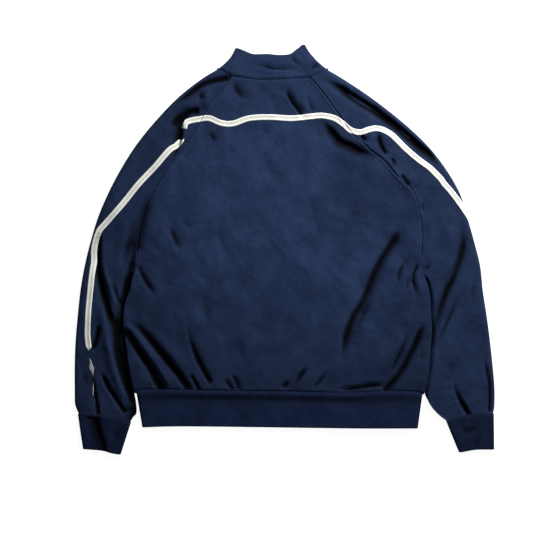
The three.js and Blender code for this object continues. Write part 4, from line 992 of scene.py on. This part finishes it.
def make_front(side):
    left = side < 0
    raglan = FRONT_RAGLAN_LEFT if left else FRONT_RAGLAN_RIGHT
    edge = SIDE_LEFT if left else SIDE_RIGHT
    neck = FRONT_NECK_LEFT if left else FRONT_NECK_RIGHT
    yoke = shares(56)
    lower = shares(40)[1:]
    side_points = np.concatenate([along(raglan, yoke), along(edge, lower)])
    centre_y = np.concatenate([mix(251, ARMPIT, yoke), mix(ARMPIT, HEM_Y, lower)])
    bow = np.concatenate([np.maximum(0, 1 - yoke * 7), np.zeros(len(lower))])[:, None]
    zip_x = value_at(ZIP_LINE, 1, centre_y) + side * (ZIP_HALF_WIDTH - 1.5)
    across = np.concatenate([shares(10) * 0.12, 0.12 + 0.88 * shares(26)[1:]])
    straight_x = mix(side_points[:, :1], zip_x[:, None], across)
    straight_y = mix(side_points[:, 1:], centre_y[:, None], across)
    curve = along(neck, mix(0.25, 1, across))
    x = mix(straight_x, curve[:, 0], bow)
    y = mix(straight_y, curve[:, 1], bow)
    grid = np.stack([x, y, front_height(x, y)], -1)
    places = grid[..., :2].copy()
    if left:
        grid = grid[:, ::-1]
        places = places[:, ::-1].copy()
    name = "front_left_cloth" if left else "front_right_cloth"
    piece = sheet_piece(name, grid, places, cloth)
    set_shade(piece, np.ones(grid.shape[:2]))
    return piece


def cloth_run(points):
    """How far along the cloth each point of a row is."""
    return np.concatenate([[0], np.cumsum(np.linalg.norm(np.diff(points, axis=0), axis=1))])


def make_cuff(name, seam, edge, folds):
    radius = (CUFF_LEVEL - RIB / 2) / 2
    inset = RIB / 2 + radius
    down = shares(20)
    parts = shares(40)

    def turned(x, y, sense, angles):
        """The cuff's folded edge, round a centre."""
        turns = np.radians(angles)
        return np.stack([x + sense * radius * np.cos(turns), np.full(len(turns), y),
                         RIB / 2 + radius + radius * np.sin(turns)], -1)

    rows = []
    for share in down:
        line = mix(along(seam, parts), along(edge, parts), share)
        width = abs(line[-1, 0] - line[0, 0])
        inner = parts * (1 - 2 * inset / width) + inset / width
        under = mix(along(seam, inner), along(edge, inner), share)
        x = under[:, 0]
        y = under[:, 1] + (CUFF_SEAM_BOW * np.sin(np.pi * inner) + 1) * (1 - share)
        below = share * CUFF_HEIGHT
        height = CUFF_LEVEL + relief(x, y, folds)
        height += 0.8 * np.exp(-(((below - 5) / 5) ** 2)) - 1.2 * np.exp(-((below / 2) ** 2))
        rows.append(np.concatenate([
            np.stack([x, y, height], -1),
            turned(*under[-1], 1, FOLD_TURNS),
            np.stack([under[::-1, 0], under[::-1, 1], np.full(len(parts), RIB / 2)], -1),
            turned(*under[0], -1, FOLD_TURNS[::-1]),
        ]))
    middle = np.stack(rows)
    around = cloth_run(middle[0])
    places = np.zeros((len(down), middle.shape[1] + 1, 2))
    places[:, :-1, 0] = around
    places[:, -1, 0] = around[-1] + 3
    places[..., 1] = -down[:, None] * CUFF_CLOTH
    # Painted shade: the cuff made darker as a whole and in its folds and hollows.
    shade = np.full(middle.shape[:2], CUFF_PAINTED_SHADE)
    top = middle[:, :len(parts)]
    shade[:, :len(parts)] *= painted_fold_shade(top[..., 2]) * deep_shade(top[..., 0], top[..., 1], folds)
    return band_piece(name, middle, places, shade, RIB, rib, ring=True)


def make_hem():
    radius = (HEM_LEVEL - RIB / 2) / 2
    inset = RIB / 2 + radius
    rows = []
    down = shares(24)
    under_columns = 40
    top_columns = 200
    for share in down:
        left = mix(-281.5, -270, share)
        right = mix(262, 253, share)

        def band_y(x):
            seam_y = value_at(HEM_SEAM, 0, np.clip(x, -283, 262)) - 0.2
            edge_y = value_at(HEM_EDGE, 0, np.clip(x, -269, 252))
            return mix(seam_y, edge_y, share)

        centre = float(value_at(ZIP_LINE, 1, mix(-269, -336, share)))

        def under_y(x):
            lean = np.where(x < centre, -269, -273)
            seam_y = mix(-269, lean, np.abs(x - centre) / 275) - 0.8
            return mix(seam_y, band_y(x), share)

        def flank(start, end, count):
            x = np.linspace(start, end, count)
            return np.stack([x, under_y(x), np.full(count, RIB / 2)], -1)

        def turn_at(centre_x, sense, angles):
            points = []
            for angle in angles:
                bend = math.radians(angle)
                x = centre_x + sense * radius * math.cos(bend)
                y = np.minimum(band_y(np.array([x])), under_y(np.array([x])))[0]
                points.append((x, y, RIB / 2 + radius + radius * math.sin(bend)))
            return np.array(points)

        x = np.linspace(left + inset, right - inset, top_columns)
        y = band_y(x)
        below = share * HEM_HEIGHT
        dip = -1.5 * np.exp(-(((below - 14) / 7) ** 2)) * ramp(x, -250, -190) * (1 - ramp(x, 120, 175))
        swell = 0.9 * np.exp(-(((below - 5) / 4) ** 2)) - 1.6 * np.exp(-((below / 2) ** 2))
        top = np.stack([x, y, HEM_LEVEL + dip + swell + drape(x, y)], -1)
        rows.append(np.concatenate([
            flank(centre - ZIP_HALF_WIDTH - 0.8, left + inset, under_columns),
            turn_at(left + inset, -1, FOLD_TURNS[::-1]),
            top,
            turn_at(right - inset, 1, FOLD_TURNS),
            flank(right - inset, centre + ZIP_HALF_WIDTH + 0.8, under_columns),
        ]))
    middle = np.stack(rows)
    places = np.zeros(middle.shape[:2] + (2,))
    places[..., 0] = cloth_run(middle[0])
    places[..., 1] = -down[:, None] * HEM_HEIGHT
    # Painted shade: in the hem's folds where it shows, and in a dark band a little below its seam.
    shade = np.ones(middle.shape[:2])
    first = under_columns + len(FOLD_TURNS)
    shown = slice(first, first + top_columns)
    shade[:, shown] = painted_fold_shade(middle[:, shown, 2])
    shade *= 1 - 0.5 * np.exp(-(((down * HEM_HEIGHT - 14) / 9) ** 2))[:, None]
    return band_piece("hem_rib", middle, places, shade, RIB, rib)


def make_collar():
    radius = (COLLAR_LEVEL - COLLAR / 2) / 2
    inset = COLLAR / 2 + radius
    up = shares(26)
    side_cells = 24
    back_cells = 90
    rows = []
    for share in up[::-1]:
        def side_part(base, top, sense, reverse):
            part = shares(side_cells)
            low = along(base, mix(0.03, 1, part))
            high = along(top, mix(0.03, 1, part))
            x = mix(low[:, 0] - sense * 0.5, high[:, 0], share) - sense * inset * (1 - part) ** 4
            y = mix(low[:, 1] + 0.8, high[:, 1], share)
            points = np.stack([x, y, COLLAR / 2 + slider_rise(x, y)], -1)
            return points[::-1] if reverse else points

        def fold_part(base, top, sense, angles):
            x = mix(base[0], top[0], share) - sense * COLLAR / 2
            y = mix(base[1] + 0.9, top[1], share)
            bulge = sense * 5 * math.sin(math.pi * share)
            points = []
            for angle in angles:
                bend = math.radians(angle)
                reach = radius * (1 - math.cos(bend))
                points.append((x - bulge - sense * reach, y,
                               COLLAR / 2 + radius + radius * math.sin(bend)))
            return np.array(points)

        part = shares(back_cells)
        low = along(COLLAR_BASE_BACK, part)
        high = along(COLLAR_TOP_BACK, part)
        x = mix(low[:, 0], high[:, 0], share) + mix(inset, -inset, part)
        y = mix(low[:, 1] + 0.5, high[:, 1], share)
        above = share * COLLAR_HEIGHT
        seam = 0.6 * np.exp(-(((above - 5) / 4) ** 2)) - 1.5 * np.exp(-((above / 2) ** 2))
        stitched = -0.5 * np.exp(-(((above - 9) / 1.4) ** 2))
        z = COLLAR_LEVEL + relief(x, y, COLLAR_FOLDS) + seam + stitched + drape(x, y)
        rows.append(np.concatenate([
            side_part(FRONT_NECK_LEFT, COLLAR_TOP_LEFT, -1, True),
            fold_part((-125.5, 341), (-94, 380), -1, FOLD_TURNS[::-1]),
            np.stack([x, y, z], -1),
            fold_part((80.5, 340), (39.5, 386.5), 1, FOLD_TURNS),
            side_part(FRONT_NECK_RIGHT, COLLAR_TOP_RIGHT, 1, False),
        ]))
    middle = np.stack(rows)
    places = np.zeros(middle.shape[:2] + (2,))
    places[..., 0] = cloth_run(middle[-1])
    places[..., 1] = up[::-1][:, None] * COLLAR_CLOTH
    # Painted shade: the collar made darker as a whole and in its hollows.
    shade = np.full(middle.shape[:2], COLLAR_PAINTED_SHADE)
    first = side_cells + 1 + len(FOLD_TURNS)
    shown = slice(first, first + back_cells + 1)
    shade[:, shown] *= painted_fold_shade(middle[:, shown, 2])
    return band_piece("collar_cloth", middle, places, shade, COLLAR, cloth)


def top_height(x, y):
    """Height of whichever panel shows from above."""
    inside = inside_body(x, y) > 0
    left = sleeve_height(x, y, -1)
    right = sleeve_height(x, y, 1)
    return np.where(inside, back_height(x, y), np.where(x < 0, left, right))


# Step along the tape, and the sleeve's underside beneath it.
TAPE_STEP = 1.6
TAPE_LOWEST = 0.4
UNDER_STRIPE_LEVEL = 2.1

# Section of the tape: place across it and height above the cloth.
TAPE_SECTION = [
    (-5.5, -0.3), (-5.4, 0.55), (-4.9, 1.0), (-4.0, 1.15), (-3.0, 1.1), (-2.2, 0.85), (-1.2, 0.7),
    (0.0, 0.68), (1.2, 0.7), (2.2, 0.85), (3.0, 1.1), (4.0, 1.15), (4.9, 1.0), (5.4, 0.55), (5.5, -0.3),
]


def plan_across(line):
    ahead = np.gradient(line, axis=0)
    ahead = ahead / np.linalg.norm(ahead, axis=1, keepdims=True)
    return np.stack([-ahead[:, 1], ahead[:, 0]], -1)


def tape_piece(name, grid, shade):
    section = np.array(TAPE_SECTION)
    places = np.zeros(grid.shape[:2] + (2,))
    places[..., 0] = section[:, 0]
    places[..., 1] = np.arange(len(grid))[:, None] * TAPE_STEP
    grid = np.concatenate([grid[..., :2], np.maximum(grid[..., 2:], TAPE_LOWEST)], -1)
    piece = sheet_piece(name, grid[:, ::-1], places[:, ::-1], tape)
    set_shade(piece, shade[:, ::-1])
    return piece


def tape_on_top(path, sunk):
    """Tape on the panels. Sunk says how far a point goes in under the cloth, where a fold hides it."""
    line = evenly(path, TAPE_STEP)
    across = plan_across(line)
    section = np.array(TAPE_SECTION)
    x = line[:, :1] + across[:, :1] * section[:, 0]
    y = line[:, 1:] + across[:, 1:] * section[:, 0]
    return np.stack([x, y, top_height(x, y) + section[:, 1] - sunk(x, y)], -1)


def rounded_edge(top_rise, under_drop):
    """The rolled edge's section: how far along the cloth, how far in from the edge, and the turn."""
    turns = np.radians(np.linspace(90, 0, 31))
    sections = []
    for reach, depth in ((ROLL_TOP_REACH, top_rise), (ROLL_UNDER_REACH, under_drop)):
        inward = reach * (1 - np.sin(turns))
        steps = np.hypot(np.diff(inward), depth * np.diff(np.cos(turns)))
        along_cloth = np.concatenate([[0], np.cumsum(steps)])
        far = np.array([60.0])
        sections.append((
            np.concatenate([along_cloth, along_cloth[-1] + far]),
            np.concatenate([inward, inward[-1] + far]),
            np.concatenate([turns, [0]]),
        ))
    return sections


def tape_round_edge():
    """The right sleeve's stripe where it goes round the sleeve's edge and on underneath."""
    table = np.array(TAPE_ROUND_EDGE, float)
    edge_line = evenly(OUTER_RIGHT, 2.0)
    run = np.arange(len(edge_line)) * 2.0
    start_run = np.interp(-table[:, 0], -edge_line[:, 1], run)
    path = evenly(np.stack([start_run, table[:, 1]], -1), TAPE_STEP)
    across = plan_across(path)
    section = np.array(TAPE_SECTION)
    place = path[:, :1] - across[:, :1] * section[:, 0]
    inward = path[:, 1:] - across[:, 1:] * section[:, 0]
    edge_x = np.interp(place, run, edge_line[:, 0])
    edge_y = np.interp(place, run, edge_line[:, 1])
    ahead = np.gradient(edge_line, axis=0)
    ahead = ahead / np.linalg.norm(ahead, axis=1, keepdims=True)
    in_x = np.interp(place, run, ahead[:, 1])
    in_y = np.interp(place, run, -ahead[:, 0])
    top, under = rounded_edge(SLEEVE_LEVEL - ROLL_LEVEL, ROLL_LEVEL - UNDER_STRIPE_LEVEL)
    reach = np.abs(inward)
    above = inward > 0
    distance = np.where(above, np.interp(reach, top[0], top[1]), np.interp(reach, under[0], under[1]))
    turn = np.where(above, np.interp(reach, top[0], top[2]), np.interp(reach, under[0], under[2]))
    x = edge_x + in_x * distance
    y = edge_y + in_y * distance
    under_z = mix(ROLL_LEVEL, UNDER_STRIPE_LEVEL, np.cos(turn))
    z = np.where(above, sleeve_height(x, y, 1), under_z)
    out = section[:, 1] * np.where(above, 1, 0.8)
    x = x - in_x * np.sin(turn) * out
    y = y - in_y * np.sin(turn) * out
    return np.stack([x, y, z + np.where(above, 1, -1) * np.cos(turn) * out], -1)


# Where the fold at the left sleeve's lower end leaves the tape showing. Columns: y, middle of what
# shows, half its width.
TAPE_SLIVERS = [
    (-202, -369, 0), (-225, -365, 4.7), (-242, -362, 0), (-247, -362.5, 0), (-251, -362.5, 1.3),
    (-275, -362.5, 1.3), (-280, -362.5, 0),
]


def left_tape_sunk(x, y):
    """The fold across the tape near its lower end, and the fold that hides most of the rest."""
    rows = np.array(TAPE_SLIVERS, float)[::-1]
    middle = np.interp(y, rows[:, 0], rows[:, 1])
    half = np.interp(y, rows[:, 0], rows[:, 2])
    hidden = ramp(np.abs(x - middle) - half, -0.7, 0.5)
    notch = 1.4 * np.abs(x + 371) - 190
    shown = np.maximum(ramp(y, notch - 4, notch - 1), (y < -200) * (1 - hidden))
    pleat = ramp(y, 205, 214)
    return 3.4 * np.maximum(pleat, 1 - shown)


def back_tape_sunk(x, y):
    """The end of the back's tape goes down in the pleat."""
    return 3.2 * (1 - ramp(y, 222, 232)) * (x < -180)


back = make_back()
sleeve_left = make_sleeve(-1)
sleeve_right = make_sleeve(1)
front_left = make_front(-1)
front_right = make_front(1)
cuff_left = make_cuff("cuff_left_rib", CUFF_SEAM_LEFT, CUFF_EDGE_LEFT, CUFF_LEFT_FOLDS)
cuff_right = make_cuff("cuff_right_rib", CUFF_SEAM_RIGHT, CUFF_EDGE_RIGHT, CUFF_RIGHT_FOLDS)
hem = make_hem()
collar = make_collar()
across_back = np.concatenate([tape_on_top(TAPE_BACK, back_tape_sunk), tape_round_edge()[1:]])
stripe_back = tape_piece("stripe_back_tape", across_back, np.ones(across_back.shape[:2]))
down_left = tape_on_top(TAPE_LEFT, left_tape_sunk)
# Painted shade on the left tape: darker at its lower end and where it bends down the sleeve.
end_shade = mix(0.5, 1, ramp(down_left[..., 1], -203, -196))
bend_shade = 1 - 0.3 * ramp(30 - down_left[..., 1], 0, 8) * ramp(down_left[..., 1] + 35, 0, 30)
stripe_left = tape_piece("stripe_left_tape", down_left, end_shade * bend_shade)

# Columns: piece, material slot, the CAD nodes that it stands for.
STANDS_FOR = [
    (back, "cloth", ["back_panel"]),
    (sleeve_left, "cloth", ["sleeve_left"]),
    (sleeve_right, "cloth", ["sleeve_right"]),
    (front_left, "cloth", ["front_left"]),
    (front_right, "cloth", ["front_right"]),
    (cuff_left, "rib", ["cuff_left"]),
    (cuff_right, "rib", ["cuff_right"]),
    (hem, "rib", ["hem_band"]),
    (collar, "cloth", ["collar"]),
    (stripe_back, "tape", ["stripe_back", "stripe_sleeve_right", "stripe_sleeve_right_under"]),
    (stripe_left, "tape", ["stripe_sleeve_left"]),
]
for piece, slot, nodes in STANDS_FOR:
    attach(piece, "jacket")
    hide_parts(*nodes)

# Stitches and zip teeth.

STITCH_STEP = 3.1
STITCH_LENGTH = 2.3
STITCH_HALF_WIDTH = 0.3
STITCH_RISE = 0.32
TOOTH_STEP = 0.95
TOOTH_HALF_LENGTH = 0.3
TOOTH_REACHES = (-2.3, 0.9)
TOOTH_HALF_HEIGHT = 0.83
ZIP_LEVEL = 0.85
ZIP_TEETH_TOP = 283


def surface_of(*pieces):
    """A tree of some pieces' faces to find heights on."""
    points = []
    faces = []
    for piece in pieces:
        base = len(points)
        points += [vertex.co.copy() for vertex in piece.data.vertices]
        faces += [[base + index for index in face.vertices] for face in piece.data.polygons]
    return BVHTree.FromPolygons(points, faces)


def top_of(surface, point):
    hit = surface.ray_cast(Vector((point[0] * MM, point[1] * MM, 0.1)), Vector((0, 0, -1)))[0]
    return None if hit is None else hit.z / MM


def stitch_points(surface, line):
    """Corners of the stitches along a line: two ends and four points round each one's middle."""
    corners = []
    for start, across in zip(evenly(line, STITCH_STEP), plan_across(evenly(line, STITCH_STEP))):
        ahead = np.array([across[1], -across[0]])
        middle = start + ahead * STITCH_LENGTH / 2
        heights = [top_of(surface, spot) for spot in (start, middle, start + ahead * STITCH_LENGTH)]
        if None in heights or max(heights) - min(heights) > 1:
            continue
        side = across * STITCH_HALF_WIDTH
        end = start + ahead * STITCH_LENGTH
        corners.append([
            (*start, heights[0]), (*end, heights[2]), (*(middle + side), heights[1]),
            (*middle, heights[1] + STITCH_RISE), (*(middle - side), heights[1]),
            (*middle, heights[1] - STITCH_RISE),
        ])
    return corners


def aside(path, distance):
    """A line at a distance from a rounded path, positive on its left."""
    line = evenly(path, 4.0)
    return line + plan_across(line) * distance


def make_stitches():
    panels = surface_of(back, sleeve_left, sleeve_right)
    neck = [(x, y + COLLAR_STITCH) for x, y in COLLAR_BASE_BACK[1:-1]]
    rows = stitch_points(panels, aside(RAGLAN_LEFT, RAGLAN_STITCH)[3:])
    rows += stitch_points(panels, aside(RAGLAN_RIGHT, -RAGLAN_STITCH)[3:])
    rows += stitch_points(surface_of(collar), neck)
    rows += stitch_points(panels, aside(HEM_SEAM, BAND_STITCH)[4:-4])
    for seam in (CUFF_SEAM_LEFT, CUFF_SEAM_RIGHT):
        rows += stitch_points(panels, aside([seam[0], *bowed(seam), seam[1]], BAND_STITCH)[2:-2])
    points = np.array(rows).reshape(-1, 3)
    ring = [(0, 2, 3), (0, 3, 4), (0, 4, 5), (0, 5, 2), (1, 3, 2), (1, 4, 3), (1, 5, 4), (1, 2, 5)]
    faces = (np.arange(len(rows))[:, None, None] * 6 + np.array(ring)).reshape(-1, 3)
    return make_mesh("stitches", points, faces.tolist(), points[faces.ravel(), :2] * MM, thread)


def bowed(seam):
    """Points along a cuff's seam, which bows up the sleeve."""
    parts = np.array([0.2, 0.4, 0.6, 0.8])
    line = along(seam, parts)
    line[:, 1] += CUFF_SEAM_BOW * np.sin(np.pi * parts)
    return line


def make_teeth():
    """Teeth of the closed zip, from alternate sides."""
    points = []
    faces = []
    places = np.arange(-335, ZIP_TEETH_TOP, TOOTH_STEP)
    for index, (y, centre) in enumerate(zip(places, value_at(ZIP_LINE, 1, places))):
        level = ZIP_LEVEL + float(slider_rise(np.array(centre), np.array(y)))
        sense = 1 if index % 2 else -1
        base = len(points)
        for across in TOOTH_REACHES:
            for down in (-TOOTH_HALF_LENGTH, TOOTH_HALF_LENGTH):
                for up in (-TOOTH_HALF_HEIGHT, TOOTH_HALF_HEIGHT):
                    points.append((centre + sense * across, y + down, level + up))
        for face in ((0, 1, 3, 2), (4, 6, 7, 5), (0, 4, 5, 1), (2, 3, 7, 6), (0, 2, 6, 4), (1, 5, 7, 3)):
            faces.append([base + corner for corner in (face if sense > 0 else face[::-1])])
    faces = np.array(faces)
    points = np.array(points)
    return make_mesh("zip_teeth", points, faces.tolist(), points[faces.ravel(), :2] * MM, zip_tape)


stitches = make_stitches()
teeth = make_teeth()
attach(stitches, "jacket")
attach(teeth, "jacket")

for node, material in (("zip", zip_tape), ("zip_slider", metal), ("zip_pull", metal)):
    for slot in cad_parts[node].material_slots:
        slot.material = material


# Floor, light and camera.

FLOOR_SIZE = 80.0
mesh = bpy.data.meshes.new("floor")
half = FLOOR_SIZE / 2
corners = [(-half, -half, 0), (half, -half, 0), (half, half, 0), (-half, half, 0)]
mesh.from_pydata(corners, [], [(0, 1, 2, 3)])
mesh.materials.append(node_maker("pale_floor")[1]({
    "Base Color": (0.25, 0.25, 0.25, 1),
    "Roughness": 0.9,
    "Emission Color": (1, 1, 1, 1),
    "Emission Strength": 0.93,
}))
floor = add_object("floor", mesh)

# The cut of what shows of each piece, in metres. Columns: piece, width, length, how it is held, what
# it rests on, area of the cut.
SHEETS = [
    (front_left, 0.272, 0.565, "laid", [floor], 0.126),
    (front_right, 0.278, 0.565, "laid", [floor], 0.132),
    (sleeve_left, 0.365, 0.69, "folded", [floor], 0.134),
    (sleeve_right, 0.365, 0.69, "folded", [floor], 0.15),
    (back, 0.585, 0.602, "laid", [front_left, front_right, sleeve_left, sleeve_right], 0.291),
    (cuff_left, 0.185, 0.066, "folded", [floor], None),
    (cuff_right, 0.17, 0.066, "folded", [floor], None),
    (hem, 1.08, 0.068, "folded", [floor], None),
    (collar, 0.48, 0.047, "folded", [floor], None),
    (stripe_back, 0.0118, 1.0, "laid", [back, sleeve_right], None),
    (stripe_left, 0.0118, 0.563, "laid", [sleeve_left], None),
]
for piece, width, length, held, under, area in SHEETS:
    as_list(under)

world = bpy.data.worlds.new("studio")
bpy.context.scene.world = world
world.use_nodes = True
world.node_tree.nodes["Background"].inputs["Color"].default_value = (1, 1, 1, 1)
world.node_tree.nodes["Background"].inputs["Strength"].default_value = 0.16


KEY_PLACE = (0.9, 1.2, 0.98)
KEY_SIZE = 0.6
KEY_POWER = 64


def softbox(name, place, size, power, target):
    light = bpy.data.lights.new(name, "AREA")
    light.shape = "DISK"
    light.size = size
    light.energy = power
    lamp = add_object(name, light)
    lamp.location = place
    lamp.rotation_euler = (Vector(target) - Vector(place)).to_track_quat("-Z", "Y").to_euler()


softbox("key", KEY_PLACE, KEY_SIZE, KEY_POWER, (0, 0, 0))

CAMERA_LENS = 85
FIELD_WIDTH = 1.0127
VIEW_CENTRE = (-0.0342, -0.0323)
camera_data = bpy.data.cameras.new("camera")
camera_data.lens = CAMERA_LENS
camera_data.clip_end = 1.5 * FLOOR_SIZE
camera = add_object("camera", camera_data)
distance = FIELD_WIDTH * CAMERA_LENS / camera_data.sensor_width
camera.location = (*VIEW_CENTRE, distance)
bpy.context.scene.camera = camera
bpy.context.scene.view_settings.view_transform = "Standard"
